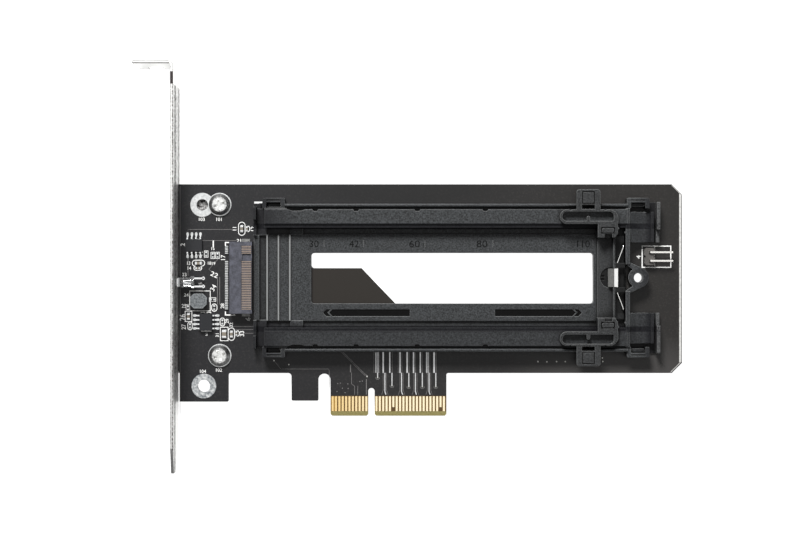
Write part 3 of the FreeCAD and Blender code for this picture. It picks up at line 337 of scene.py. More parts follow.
# --- Printed marks -------------------------------------------------------------------------
# White epoxy ink, screened on the mask: outlines of the small parts and plain numerals. Its
# grain, finer in truth, is drawn at 0.25 mm, and gives the white a chalky unevenness.
white_ink = mottled("white_screen_ink", 0.25, 3.0, "#CFCFCC", "#F6F6F4", Roughness=0.6)
INK_LOW, INK_HIGH = BOARD_TOP + TRACK_H + 0.001, BOARD_TOP + 0.06
INK_W = 0.2


def oval(x, y, wide, deep, count=10):
    """Centre line of a bar with round ends."""
    radius = min(wide, deep) / 2
    run = max(wide, deep) / 2 - radius
    points = []
    for side in (1, -1):
        for i in range(count + 1):
            turn = math.pi * (i / count - 0.5)
            along, across = side * (run + radius * math.cos(turn)), side * radius * math.sin(turn)
            points.append((x + along, y + across) if wide >= deep else (x - across, y + along))
    return points


marks = []
for x, y, wide, deep in ((-38.45, 55.5, 1.95, 3.9), (-51.3, 45.3, 3.7, 1.75),
                         (-41.5, 24.25, 1.8, 3.7), (-44.2, 27.85, 1.35, 2.35),
                         (-46.6, 32.1, 1.6, 2.2), (-53.8, 26.7, 1.35, 2.3)):
    marks += line(oval(x, y, wide, deep), INK_W, True)
for x, y, wide, deep in ((-54.25, 29.5, 2.0, 3.0), (-43.65, 24.3, 2.3, 4.0)):
    marks += line(rectangle(x, y, wide, deep), INK_W, True)
for x, y in ((-36.95, 55.45), (-40.05, 24.45)):
    arc = [(x + 0.25 + 0.65 * math.cos(a), y + 0.85 * math.sin(a))
           for a in [math.pi * (i / 8 - 0.5) for i in range(9)]]
    marks += line(arc, INK_W)
marks += line(oval(-51.5, 43.8, 2.3, 1.2), INK_W, True)
for x, y, wide, deep in ((-49.0, 48.0, 1.1, 1.9), (-47.05, 47.6, 1.1, 1.9),
                         (-45.65, 47.6, 1.1, 1.9), (-47.1, 34.5, 1.9, 1.1),
                         (-54.4, 32.0, 1.1, 1.9)):
    marks += line(rectangle(x, y, wide, deep), 0.14, True)
marks += line(rectangle(-50.85, 34.1, 6.1, 5.9), INK_W, True)
for way, y in ((1, 51.42), (-1, 29.92)):
    marks += line([(-43.3, y - way * 1.05), (-43.3, y), (-40.4, y)], 0.32)
    marks += line([(-38.3, y - way * 0.45), (-35.6, y - way * 0.45)], 0.25)
marks += line([(-46.9, 52.0), (-46.9, 49.2)], 0.35)
for x in (-50.0, -48.2):
    marks += line([(x - 0.55, 30.45), (x - 0.55, 30.75), (x + 0.55, 30.75), (x + 0.55, 30.45)],
                  INK_W)
marks += line([(-50.5, 25.15), (-47.4, 25.15)], 0.25)
marks += line(rectangle(84.55, 47.2, 8.5, 6.3), 0.3, True)
marks += line([(84.05, 50.2), (84.05, 44.3)], 0.12)
raised("board_print", marks, INK_LOW, INK_HIGH, white_ink)


def lettering(name, words, low, high, material, bold):
    """Numerals of a given height, turn and stretch at given places, joined in one piece."""
    joined = bmesh.new()
    for word, x, y, height, turn, stretch in words:
        text = bpy.data.curves.new(name, "FONT")
        text.body = word
        text.extrude = 0.5
        text.offset = bold
        text.resolution_u = 3
        holder = bpy.data.objects.new(name, text)
        mesh = bpy.data.meshes.new_from_object(holder)
        corners = [v.co for v in mesh.vertices]
        lowest = Vector([min(c[i] for c in corners) for i in range(3)])
        highest = Vector([max(c[i] for c in corners) for i in range(3)])
        size = height / (highest.y - lowest.y)
        fit = (Matrix.Translation(Vector((x, y, (low + high) / 2)) * MM)
               @ Matrix.Rotation(math.radians(turn), 4, "Z")
               @ Matrix.Diagonal((size * stretch * MM, size * MM, (high - low) * MM, 1))
               @ Matrix.Translation(-(lowest + highest) / 2))
        mesh.transform(fit)
        joined.from_mesh(mesh)
        bpy.data.objects.remove(holder)
    bmesh.ops.remove_doubles(joined, verts=joined.verts[:], dist=1e-6)
    finished(joined, name, material)


# Each has its digits, its middle's X and Y, its height, its turn in degrees and its stretch.
numerals = [("103", -50.3, 58.3, 1.0, 0, 1.0), ("101", -45.2, 58.3, 1.0, 0, 1.0),
            ("104", -49.95, 13.2, 1.0, 0, 1.0), ("102", -45.2, 13.6, 1.0, 0, 1.0),
            ("2", -56.0, 50.8, 1.3, 90, 1.0), ("21", -39.3, 52.0, 1.0, 0, 1.1),
            ("6", -36.6, 28.7, 1.4, 90, 1.1), ("3", -48.9, 24.2, 0.9, 0, 1.2),
            ("11", -40.6, 55.5, 1.1, 90, 1.0), ("12", -35.2, 55.5, 1.2, 90, 1.0),
            ("13", -54.2, 45.3, 1.0, 0, 0.9), ("14", -54.0, 43.8, 1.0, 0, 0.9),
            ("15", -50.9, 48.3, 1.9, 90, 0.7), ("16", -47.0, 49.6, 0.9, 0, 1.0),
            ("17", -44.0, 47.0, 1.3, 90, 1.0), ("18", -48.0, 45.3, 0.9, 0, 1.0),
            ("19", -46.8, 45.2, 0.9, 0, 1.0), ("22", -46.6, 41.9, 1.4, -25, 1.2),
            ("23", -55.5, 41.9, 1.0, 0, 1.0), ("24", -54.9, 35.9, 1.0, 0, 1.0),
            ("25", -55.6, 32.6, 1.1, 0, 1.0), ("26", -56.0, 29.2, 1.8, 90, 0.8),
            ("27", -55.7, 26.4, 1.3, 90, 0.9), ("28", -44.2, 32.6, 1.1, 90, 1.0),
            ("29", -42.8, 28.1, 1.0, 90, 1.0), ("31", -45.7, 23.9, 1.0, 90, 1.0),
            ("32", -41.6, 27.0, 1.0, 90, 1.0), ("33", -38.4, 24.4, 1.3, 90, 1.0),
            ("34", -46.9, 38.0, 1.4, 60, 1.0), ("35", -50.7, 38.9, 1.0, 90, 1.0),
            ("4", 79.2, 47.1, 1.3, 90, 1.1)]
lettering("board_numerals", numerals, INK_LOW, INK_HIGH, white_ink, 0.008)

# --- Edge contacts -------------------------------------------------------------------------
# Copper fingers with a hard gold flash, polished smooth, so they mirror the ceiling almost
# white. Folded to one pitch, X tells how near a point is to a gap, where the rim is a warmer gold.
FINGER_PITCH = 1.0
hard_gold, tree, shader, place = surface("hard_gold_flash", Metallic=1.0)
axes = add(tree, "SeparateXYZ", {"Vector": place})
across = add(tree, "MapRange", {"Value": axes.outputs["X"], "From Min": -10 * MM,
                                "From Max": 5 * MM})
flash = add(tree, "MixRGB", {"Fac": across, "Color1": colour("#F4D596"),
                             "Color2": colour("#FFF2CF")})
folded = add(tree, "Math", {0: axes.outputs["X"], 1: FINGER_PITCH / 2 * MM,
                            2: -FINGER_PITCH / 2 * MM}, operation="WRAP")
rims = add(tree, "Math", {0: folded, 1: 0.0, 2: 0.22 * MM}, operation="COMPARE")
flash = add(tree, "MixRGB", {"Fac": rims, "Color1": flash, "Color2": colour("#B08A4C")})
wipe = add(tree, "TexNoise", {"Vector": place, "Scale": 1 / (0.5 * MM), "Detail": 2.0})
polish = add(tree, "MapRange", {"Value": wipe, "To Min": 0.18, "To Max": 0.34})
fill(shader, {"Base Color": flash, "Roughness": polish})
for node in ("edge_fingers_top", "edge_fingers_under"):
    dress(node, hard_gold)

# --- Tinned pads and solder ----------------------------------------------------------------
# Hot-air levelled solder on the pads of the plated holes and under the two screws. It sets in
# soft ripples that mirror the light in patches, and on the foot it is rubbed darker.
FOOT_TOP = 13.0
solder, tree, shader, place = surface("levelled_solder", Metallic=1.0, Roughness=0.38)
axes = add(tree, "SeparateXYZ", {"Vector": place})
ripple = add(tree, "TexNoise", {"Vector": place, "Scale": 1 / (0.9 * MM), "Detail": 3.0})
patches = add(tree, "MapRange", {"Value": ripple, "From Min": 0.35, "From Max": 0.65})
wear_and_edge_highlight = add(tree, "Math", {0: axes.outputs["Y"], 1: FOOT_TOP * MM}, operation="LESS_THAN")
low_tone = add(tree, "MixRGB", {"Fac": wear_and_edge_highlight, "Color1": colour("#C2C4C4"),
                                "Color2": colour("#7B8186")})
tin = add(tree, "MixRGB", {"Fac": patches, "Color1": low_tone, "Color2": colour("#E2E3E2")})
waves = add(tree, "Bump", {"Height": ripple, "Strength": 0.25, "Distance": 0.03 * MM})
fill(shader, {"Base Color": tin, "Normal": waves})
for node in ("foot_hole_pads", "spare_hole_pads"):
    dress(node, solder)

RING_W, RING_H = 1.4, 0.03
screws = ("bracket_screw_upper", "bracket_screw_lower")
rings = []
for node in screws:
    low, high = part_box(node)
    centre, head_r = (low + high) / 2 / MM, (high.x - low.x) / 2 / MM
    rings += line(ring_points(centre.x, centre.y, head_r - 0.4, 48), RING_W, True)
raised("screw_pads", rings, BOARD_TOP, BOARD_TOP + RING_H, solder)

# Solder has crept out past every lead and part end in small bright drops, and higher up the
# socket's leads.
DROP_H, CREEP_H = 0.1, 0.5
joints = []
for x in (-54.505, -53.235, -51.965, -50.695):
    joints += [oval(x, y, 0.75, 1.1, 6) for y in (53.9, 47.3)]
for y in (29.755, 28.485, 27.215, 25.945):
    joints += [oval(x, y, 1.1, 0.75, 6) for x in (-52.4, -45.6)]
for x, y, upright, apart, wide in (
        (-38.45, 55.5, True, 1.5, 0.85), (-36.95, 55.45, True, 1.0, 0.55),
        (-51.3, 45.3, False, 1.5, 0.85), (-51.5, 43.8, False, 1.0, 0.55),
        (-54.25, 29.5, True, 1.5, 0.85), (-43.65, 24.3, True, 1.9, 1.3),
        (-41.5, 24.25, True, 1.5, 0.85), (-40.05, 24.45, True, 1.0, 0.55),
        (-49.0, 48.0, True, 1.0, 0.55), (-47.05, 47.6, True, 1.0, 0.55),
        (-45.65, 47.6, True, 1.0, 0.55), (-46.6, 32.1, True, 1.0, 0.55),
        (-53.8, 26.7, True, 1.0, 0.55), (-44.2, 27.85, True, 1.0, 0.55),
        (-54.4, 32.0, True, 1.0, 0.55), (-47.1, 34.5, False, 1.0, 0.55)):
    for side in (-apart / 2, apart / 2):
        joints.append(rectangle(x, y + side, wide, 0.6) if upright
                      else rectangle(x + side, y, 0.6, wide))
SOCKET_PITCH, KEY_D, KEY_HALF = 0.5, 6.1, 1.05
rows = [(step - 18.5) * SOCKET_PITCH for step in range(38)]
feet = [rectangle(-42.95, CENTRE_Y + d, 0.85, 0.3) for d in rows if abs(d - KEY_D) > KEY_HALF]
raised("socket_joints", feet, BOARD_TOP, BOARD_TOP + CREEP_H, solder)
raised("solder_joints", joints, BOARD_TOP, BOARD_TOP + DROP_H, solder)

# --- Bracket and its screws ----------------------------------------------------------------
# Sheet steel, blanked, folded and nickel-plated, with the ear and the tabs bent from the same
# blank. Pan-head machine screws of the same plating hold the board on its tabs.
INNER_FACE, OUTER_FACE, RIM = -57.3, -58.16, 15.1
EAR_UNDER, EAR_OVER = 103.19, 104.05
NECK_START, NECK_MIDDLE = 97.3, 99.1


def edge_lean(tree, rounded):
    """How far a rounded normal leans off the flat face: 1 on the face, and less by an edge."""
    flat = add(tree, "NewGeometry", {})
    lean = add(tree, "VectorMath", {0: rounded, 1: flat.outputs["Normal"]},
               operation="DOT_PRODUCT")
    return lean.outputs["Value"]


# Nickel over a fine brush along the blank: a pale cloudy sheen with dull dark lines, in two bands
# along the blade and along its edges. The brush, far finer in truth, is drawn at 1.8 mm.
nickel_sheet, tree, shader, place = surface("brushed_nickel_plate", Specular_IOR_Level=0.0)
axes = add(tree, "SeparateXYZ", {"Vector": place})
stretch = add(tree, "Mapping", {"Vector": place, "Scale": (1.0, 0.02, 1.0)})
brush = add(tree, "TexNoise", {"Vector": stretch, "Scale": 1 / (1.8 * MM), "Detail": 5.0,
                               "Roughness": 0.7})
streaks = add(tree, "MapRange", {"Value": brush, "From Min": 0.54, "From Max": 0.4,
                                 "To Max": 0.35})
band_high = add(tree, "Math", {0: axes.outputs["Z"], 1: 9.2 * MM, 2: 1.9 * MM}, operation="COMPARE")
band_low = add(tree, "Math", {0: axes.outputs["Z"], 1: -0.3 * MM, 2: 0.9 * MM},
              operation="COMPARE")
lines = add(tree, "Math", {0: band_high, 1: band_low}, operation="MAXIMUM")
within = add(tree, "Math", {0: axes.outputs["X"], 1: (OUTER_FACE + 0.03) * MM},
             operation="GREATER_THAN")
lines = add(tree, "Math", {0: within, 1: lines}, operation="MULTIPLY")
lines = add(tree, "Math", {0: streaks, 1: lines}, operation="MAXIMUM")
on_blade = add(tree, "Math", {0: axes.outputs["Y"], 1: NECK_START * MM}, operation="LESS_THAN")
lines = add(tree, "Math", {0: on_blade, 1: lines}, operation="MULTIPLY")
rounded = add(tree, "Bevel", {"Radius": 0.4 * MM}, samples=6)
dark_edges = add(tree, "MapRange", {"Value": edge_lean(tree, rounded), "From Min": 0.998,
                                 "From Max": 0.96})
lines = add(tree, "Math", {0: lines, 1: dark_edges}, operation="MAXIMUM")
speckle = add(tree, "TexNoise", {"Vector": place, "Scale": 1 / (0.6 * MM), "Detail": 5.0})
patchy = add(tree, "MapRange", {"Value": speckle, "From Min": 0.36, "From Max": 0.6,
                                "To Min": 0.35})
broken = add(tree, "Math", {0: lines, 1: patchy}, operation="MULTIPLY")

# The rim that faces up is dark across the neck, and along both faces of the blade and of the ear.
neck = add(tree, "Math", {0: axes.outputs["Y"], 1: NECK_MIDDLE * MM, 2: 1.8 * MM},
           operation="COMPARE")
rim = add(tree, "Math", {0: axes.outputs["Z"], 1: RIM * MM, 2: 0.1 * MM}, operation="COMPARE")
neck_patch = add(tree, "Math", {0: neck, 1: rim}, operation="MULTIPLY")
dark_marks = add(tree, "Math", {0: broken, 1: neck_patch}, operation="MAXIMUM")
on_ear = add(tree, "Math", {0: axes.outputs["X"], 1: (OUTER_FACE - 0.24) * MM},
             operation="LESS_THAN")
for axis, edge, half, where, wear in (("X", INNER_FACE - 0.15, 0.18, on_blade, patchy),
                                      ("X", OUTER_FACE + 0.06, 0.08, on_blade, patchy),
                                      ("Y", EAR_UNDER + 0.14, 0.18, on_ear, 0.85),
                                      ("Y", EAR_OVER - 0.06, 0.09, on_ear, 0.85)):
    arris = add(tree, "Math", {0: axes.outputs[axis], 1: edge * MM, 2: half * MM},
                operation="COMPARE")
    for share in (rim, where, wear):
        arris = add(tree, "Math", {0: arris, 1: share}, operation="MULTIPLY")
    dark_marks = add(tree, "Math", {0: dark_marks, 1: arris}, operation="MAXIMUM")

# The inner face is pitted all over, and the strip beside the board's foot is clean.
inside = add(tree, "Math", {0: axes.outputs["X"], 1: INNER_FACE * MM, 2: 0.05 * MM},
             operation="COMPARE")
inside = add(tree, "Math", {0: inside, 1: on_blade}, operation="MULTIPLY")
pitted = add(tree, "MapRange", {"Value": speckle, "From Min": 0.44, "From Max": 0.6,
                                "To Max": 0.6})
pits = add(tree, "Math", {0: inside, 1: pitted}, operation="MULTIPLY")
dark_marks = add(tree, "Math", {0: dark_marks, 1: pits}, operation="MAXIMUM")
past_foot = add(tree, "Math", {0: axes.outputs["Y"], 1: (FOOT_TOP + 0.2) * MM},
                operation="GREATER_THAN")
over_foot = add(tree, "Math", {0: axes.outputs["Z"], 1: 8.5 * MM}, operation="GREATER_THAN")
kept = add(tree, "Math", {0: past_foot, 1: over_foot}, operation="MAXIMUM")
dark_marks = add(tree, "Math", {0: dark_marks, 1: kept}, operation="MULTIPLY")
plated = add(tree, "MixRGB", {"Fac": dark_marks, "Color1": colour("#E6E6E4"),
                              "Color2": colour("#3A3636")})
metal = add(tree, "Math", {0: 1.0, 1: dark_marks}, operation="SUBTRACT")
dull = add(tree, "MapRange", {"Value": brush, "To Min": 0.3, "To Max": 0.5})
brushed = add(tree, "Bump", {"Height": brush, "Strength": 0.2, "Distance": 0.02 * MM})
fill(shader, {"Base Color": plated, "Metallic": metal, "Roughness": dull, "Normal": brushed})
dress("bracket", nickel_sheet)

# A brighter plate. Painted reflection: the flat middle of each head is painted bright, where it
# mirrors the softbox overhead, and its sloping rim is painted dull, where it mirrors the dim room.
nickel_screw, tree, shader, place = surface("bright_nickel_screw", Metallic=1.0, Roughness=0.34)
spread = add(tree, "TexCoord", {}).outputs["Generated"]
centred = add(tree, "Mapping", {"Vector": spread, "Location": (-1.0, -1.0, 0.0),
                                "Scale": (2.0, 2.0, 0.0)})
inward = add(tree, "TexGradient", {"Vector": centred}, gradient_type="SPHERICAL")
dents_and_sheen_edge = add(tree, "TexNoise", {"Vector": place, "Scale": 1 / (0.7 * MM), "Detail": 4.0})
painted_head_sheen = add(tree, "Math", {0: inward.outputs["Fac"], 1: dents_and_sheen_edge}, operation="ADD")
painted_head_sheen = add(tree, "MapRange", {"Value": painted_head_sheen, "From Min": 0.68, "From Max": 1.05})
tone = add(tree, "MixRGB", {"Fac": painted_head_sheen, "Color1": colour("#8A8A8A"),
                            "Color2": colour("#EDEDEB")})
dents = add(tree, "Bump", {"Height": dents_and_sheen_edge, "Strength": 0.35, "Distance": 0.06 * MM})
fill(shader, {"Base Color": tone, "Normal": dents})
for node in screws:
    dress(node, nickel_screw)

# --- Drive socket --------------------------------------------------------------------------
# Moulded heat-resistant plastic with spring contacts in its slots, tinned leads behind and two
# solder nails. The plastic is a cool grey, clouded where it flowed into the mould.
grey_lcp, tree, shader, place = surface("moulded_grey_lcp", Roughness=0.4)
flow = add(tree, "TexNoise", {"Vector": place, "Scale": 1 / (1.1 * MM), "Detail": 5.0,
                              "Roughness": 0.7})
cloudy = add(tree, "MapRange", {"Value": flow, "From Min": 0.35, "From Max": 0.65})
lcp_tone = add(tree, "MixRGB", {"Fac": cloudy, "Color1": colour("#2B2C33"),
                                "Color2": colour("#4C4D57")})
skin = add(tree, "Bump", {"Height": flow, "Strength": 0.15, "Distance": 0.02 * MM})
fill(shader, {"Base Color": lcp_tone, "Normal": skin})
dress("drive_socket_housing", grey_lcp)

# Gold so thin that the nickel under it takes most of its colour.
thin_gold = uneven("thin_gold_contact", 0.3, 2.0, 0.2, 0.01, Base_Color=colour("#CBB6A4"),
                   Metallic=1.0, Roughness=0.35)
dress("drive_socket_contacts", thin_gold)

# Plated tin, bright and a little crumpled, so that each lead breaks the light up.
tinned_lead = uneven("tinned_lead", 0.4, 3.0, 0.3, 0.03, Base_Color=colour("#E2E3E3"),
                     Metallic=1.0, Roughness=0.16)
for node in ("drive_socket_leads", "upper_chip_leads", "lower_chip_leads",
             "inductor_terminals", "capacitor_ends", "resistor_ends"):
    dress(node, tinned_lead)

# Stamped tin plate that has dulled to a blotched grey.
dull_tin = mottled("dull_stamped_tin", 0.6, 3.0, "#4C4C4C", "#9A9A98", Metallic=1.0,
                   Roughness=0.5)
dress("drive_socket_nails", dull_tin)

# --- Chips, coil and small parts -----------------------------------------------------------
# Chip bodies are moulded epoxy with a fine eroded texture, soldered by their leads. The coil is
# wound on a drum of ferrite. Capacitors are fired ceramic and resistors are glass-coated.
black_epoxy = uneven("moulded_black_epoxy", 0.12, 2.0, 0.25, 0.02, Base_Color=colour("#1B1C1F"),
                     Roughness=0.5, Specular_IOR_Level=0.3)
for node in ("upper_chip_body", "lower_chip_body"):
    dress(node, black_epoxy)

# Pressed and fired ferrite: gritty ash grey, paler along its rim. Its grit, finer in
# truth, is drawn at 0.5 mm.
ferrite, tree, shader, place = surface("sintered_ferrite", Roughness=0.5)
grit = add(tree, "TexNoise", {"Vector": place, "Scale": 1 / (0.5 * MM), "Detail": 4.0})
gritty = add(tree, "MapRange", {"Value": grit, "From Min": 0.38, "From Max": 0.62})
ash = add(tree, "MixRGB", {"Fac": gritty, "Color1": colour("#414446"),
                           "Color2": colour("#6C7072")})
rounded = add(tree, "Bevel", {"Radius": 0.35 * MM}, samples=6)
pale_rim = add(tree, "MapRange", {"Value": edge_lean(tree, rounded), "From Min": 0.995,
                                 "From Max": 0.9, "To Max": 0.5})
ash = add(tree, "MixRGB", {"Fac": pale_rim, "Color1": ash, "Color2": colour("#A9ADAF")})
fill(shader, {"Base Color": ash})
dress("inductor_core", ferrite)

# Enamelled copper, a glossy red-brown in even turns.
enamel_copper, tree, shader, place = surface("enamelled_copper_wire", Metallic=0.8,
                                             Roughness=0.35, Base_Color=colour("#A0522D"))
turns = add(tree, "TexWave", {"Vector": place, "Scale": 1 / (1.4 * MM)}, bands_direction="Z")
wound = add(tree, "Bump", {"Height": turns.outputs["Fac"], "Strength": 0.5,
                           "Distance": 0.1 * MM})
fill(shader, {"Normal": wound})
dress("inductor_coil", enamel_copper)

# Fired ceramic is a matt tan with the cloud of its powder, and the resistors' glass is smoother.
fired_ceramic = mottled("fired_tan_ceramic", 0.5, 2.0, "#5C564D", "#857D70", Roughness=0.4)
dress("capacitor_bodies", fired_ceramic)
resistor_glass = mottled("glass_coated_resistor", 0.5, 2.0, "#232425", "#303132", Roughness=0.25)
dress("resistor_bodies", resistor_glass)

# --- Lamp ----------------------------------------------------------------------------------
# A clear 3 mm lamp lies on the board with its dome in the bracket's hole: cast epoxy, smooth as
# glass, with two square tinned leads bent down through the board. The tip of the dome is made
# frosted white, a painted highlight, and the stamped lead frame shows through the barrel.
DOME_END, BARREL_START = -57.0, -56.4
FRAME_LOW, FRAME_HIGH = 2.5, 3.1
clear_epoxy, tree, shader, place = surface("clear_cast_epoxy", Base_Color=colour("#FBFCFC"),
                                           Roughness=0.03, IOR=1.52)
axes = add(tree, "SeparateXYZ", {"Vector": place})
# Painted highlight: the clear epoxy turns frosted white towards the dome's tip.
clear = add(tree, "MapRange", {"Value": axes.outputs["X"], "From Min": DOME_END * MM,
                               "From Max": BARREL_START * MM, "To Min": 0.1, "To Max": 0.93})
sink = add(tree, "TexNoise", {"Vector": place, "Scale": 1 / (1.2 * MM)})
sunk = add(tree, "Bump", {"Height": sink, "Strength": 0.05, "Distance": 0.03 * MM})
fill(shader, {"Transmission Weight": clear, "Normal": sunk})
dress("led_lens", clear_epoxy)
dress("led_leads", tinned_lead)
anvil = [(-55.5, 38.5), (-53.2, 38.2), (-53.2, 39.5), (-54.6, 39.6), (-55.5, 40.3)]
post = [(-55.4, 40.7), (-54.3, 39.9), (-53.2, 39.8), (-53.2, 41.0), (-55.4, 41.0)]
raised("led_lead_frame", [anvil, post], FRAME_LOW, FRAME_HIGH, tinned_lead)

# --- Pin header ----------------------------------------------------------------------------
# Two square right-angled pins in a moulded base. The nylon is a warm near-black with a soft
# bloom, and the pins are drawn wire, tinned: bright on top, with their sides in the dark.
header_nylon = mottled("moulded_header_nylon", 0.4, 2.0, "#33312F", "#55524F", Roughness=0.45)
dress("header_base", header_nylon)
pin_tin, tree, shader, place = surface("tinned_pin", Metallic=1.0, Roughness=0.25)
drawn = add(tree, "TexNoise", {"Vector": place, "Scale": 1 / (0.4 * MM), "Detail": 2.0})
rounded = add(tree, "Bevel", {"Radius": 0.22 * MM}, samples=6)
sides = add(tree, "MapRange", {"Value": edge_lean(tree, rounded), "From Min": 0.98,
                               "From Max": 0.85})
tone = add(tree, "MixRGB", {"Fac": sides, "Color1": colour("#F1EFEA"),
                            "Color2": colour("#3C3A38")})
fill(shader, {"Base Color": tone, "Normal": add(tree, "Bump", {
    "Height": drawn, "Strength": 0.15, "Distance": 0.02 * MM})})
dress("header_pins", pin_tin)


# --- Drive carrier -------------------------------------------------------------------------
# One black glass-filled nylon moulding, snapped to the board. A spark-eroded mould gives it a
# fine grain, drawn coarser than real at 0.4 mm, and every edge has the small round of a moulding.
def moulded(name, dark, light):
    """Black moulded nylon: charcoal specks, with painted shade in the hollows and painted
    highlights along the edges.
    """
    made, tree, shader, place = surface(name, Roughness=0.45, Specular_IOR_Level=0.2)
    axes = add(tree, "SeparateXYZ", {"Vector": place})
    aside = add(tree, "Math", {0: axes.outputs["Y"], 1: CENTRE_Y * MM}, operation="SUBTRACT")
    aside = add(tree, "Math", {0: aside}, operation="ABSOLUTE")
    spark = add(tree, "TexNoise", {"Vector": place, "Scale": 1 / (0.4 * MM), "Detail": 4.0,
                                   "Roughness": 0.7})
    sharp = add(tree, "MapRange", {"Value": spark, "From Min": 0.36, "From Max": 0.7})
    tone = add(tree, "MixRGB", {"Fac": sharp, "Color1": colour(dark), "Color2": colour(light)})

    # Painted shade: little light gets into the hollows, so they are painted black, but the floors
    # of the spring loops stay open to it.
    hollow = add(tree, "AmbientOcclusion", {"Distance": 3.5 * MM}, samples=8)
    hollow_shade = add(tree, "MapRange", {"Value": hollow.outputs["AO"], "From Min": 0.8,
                                  "From Max": 0.42, "To Max": 0.94})
    in_loop = add(tree, "Math", {0: aside, 1: 18.2 * MM, 2: 1.6 * MM}, operation="COMPARE")
    by_loop = add(tree, "Math", {0: axes.outputs["X"], 1: 64 * MM, 2: 8 * MM},
                  operation="COMPARE")
    eased = add(tree, "Math", {0: in_loop, 1: by_loop}, operation="MULTIPLY")
    eased = add(tree, "MapRange", {"Value": eased, "To Min": 1.0, "To Max": 0.1})
    hollow_shade = add(tree, "Math", {0: hollow_shade, 1: eased}, operation="MULTIPLY")
    tone = add(tree, "MixRGB", {"Fac": hollow_shade, "Color1": tone, "Color2": colour("#050505")})

    # Painted highlight: the colour turns paler along every open edge, where its small round catches
    # the light.
    rounded = add(tree, "Bevel", {"Radius": 0.3 * MM}, samples=6)
    wear_and_edge_highlight = add(tree, "MapRange", {"Value": edge_lean(tree, rounded), "From Min": 0.99,
                                    "From Max": 0.75, "To Max": 0.7})
    open_edge = add(tree, "Math", {0: 1.0, 1: hollow_shade}, operation="SUBTRACT")
    reached = add(tree, "Math", {0: wear_and_edge_highlight, 1: open_edge}, operation="MULTIPLY")
    edged = add(tree, "MixRGB", {"Fac": reached, "Color1": tone, "Color2": colour("#8A8B8B")})
    grained = add(tree, "Bump", {"Height": spark, "Strength": 0.5, "Distance": 0.05 * MM,
                                 "Normal": rounded})
    fill(shader, {"Normal": grained})
    return made, tree, shader, place, axes, aside, sharp, edged


# Painted highlight: the crests of the nearest ribs are painted as pale lines, where their rounded
# tops catch the light.
RIB_AT, RIB_PITCH = -30.8, 3.35
carrier_nylon, tree, shader, _, axes, aside, sharp, edged = moulded(
    "black_glass_filled_nylon", "#181919", "#454749")
folded = add(tree, "Math", {0: axes.outputs["X"], 1: (RIB_AT + RIB_PITCH / 2) * MM,
                            2: (RIB_AT - RIB_PITCH / 2) * MM}, operation="WRAP")
on_rib = add(tree, "Math", {0: folded, 1: RIB_AT * MM, 2: 0.24 * MM}, operation="COMPARE")
on_crest = add(tree, "Math", {0: axes.outputs["Z"], 1: 2.9 * MM, 2: 0.3 * MM},
               operation="COMPARE")
near = add(tree, "Math", {0: axes.outputs["X"], 1: -27.45 * MM, 2: 3.7 * MM},
           operation="COMPARE")
crest = add(tree, "Math", {0: on_rib, 1: on_crest}, operation="MULTIPLY")
crest = add(tree, "Math", {0: crest, 1: near}, operation="MULTIPLY")

# The left ends of the rails, the far end's seat, the lower rail and the long troughs beside the
# strips lie in shade and are painted darker, and the troughs hardly shine. The end's flap is
# painted paler in specks, a painted highlight.
frame_low, frame_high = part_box("carrier_frame")
LEFT_END, RIGHT_END = frame_low.x / MM, frame_high.x / MM
SEAT_END, FLAP_START = 84.0, 84.05
far_left = add(tree, "MapRange", {"Value": axes.outputs["X"],
                                  "From Min": (LEFT_END + 14.8) * MM,
                                  "From Max": (LEFT_END + 3.8) * MM, "To Max": 0.75})
on_rail = add(tree, "Math", {0: aside, 1: 12.75 * MM}, operation="GREATER_THAN")
dim = add(tree, "Math", {0: far_left, 1: on_rail}, operation="MULTIPLY")
seat = add(tree, "MapRange", {"Value": axes.outputs["X"], "From Min": (RIGHT_END - 7.6) * MM,
                              "From Max": (RIGHT_END - 2.6) * MM, "To Max": 0.75})
before = add(tree, "Math", {0: axes.outputs["X"], 1: SEAT_END * MM}, operation="LESS_THAN")
dim_seat = add(tree, "Math", {0: seat, 1: before}, operation="MULTIPLY")
lower_rail = add(tree, "Math", {0: axes.outputs["Y"], 1: 23.5 * MM, 2: 3.5 * MM},
                 operation="COMPARE")
dim_lower = add(tree, "Math", {0: lower_rail, 1: 0.3}, operation="MULTIPLY")
trough = add(tree, "Math", {0: aside, 1: 15.2 * MM, 2: 0.8 * MM}, operation="COMPARE")
trough = add(tree, "Math", {0: trough, 1: 0.75}, operation="MULTIPLY")
for shade in (dim_seat, dim_lower, trough):
    dim = add(tree, "Math", {0: dim, 1: shade}, operation="MAXIMUM")
shine = add(tree, "MapRange", {"Value": trough, "To Min": 0.2, "To Max": 0.02})
shaded = add(tree, "MixRGB", {"Fac": dim, "Color1": edged, "Color2": colour("#0C0B0F")})
flap = add(tree, "Math", {0: axes.outputs["X"], 1: FLAP_START * MM}, operation="GREATER_THAN")
flap_highlight = add(tree, "Math", {0: flap, 1: sharp}, operation="MULTIPLY")
with_painted_highlights = add(tree, "MixRGB", {"Fac": flap_highlight, "Color1": shaded, "Color2": colour("#585858")})
with_painted_highlights = add(tree, "MixRGB", {"Fac": crest, "Color1": with_painted_highlights, "Color2": colour("#7C7D7D")})
fill(shader, {"Base Color": with_painted_highlights, "Specular IOR Level": shine})
dress("carrier_frame", carrier_nylon)

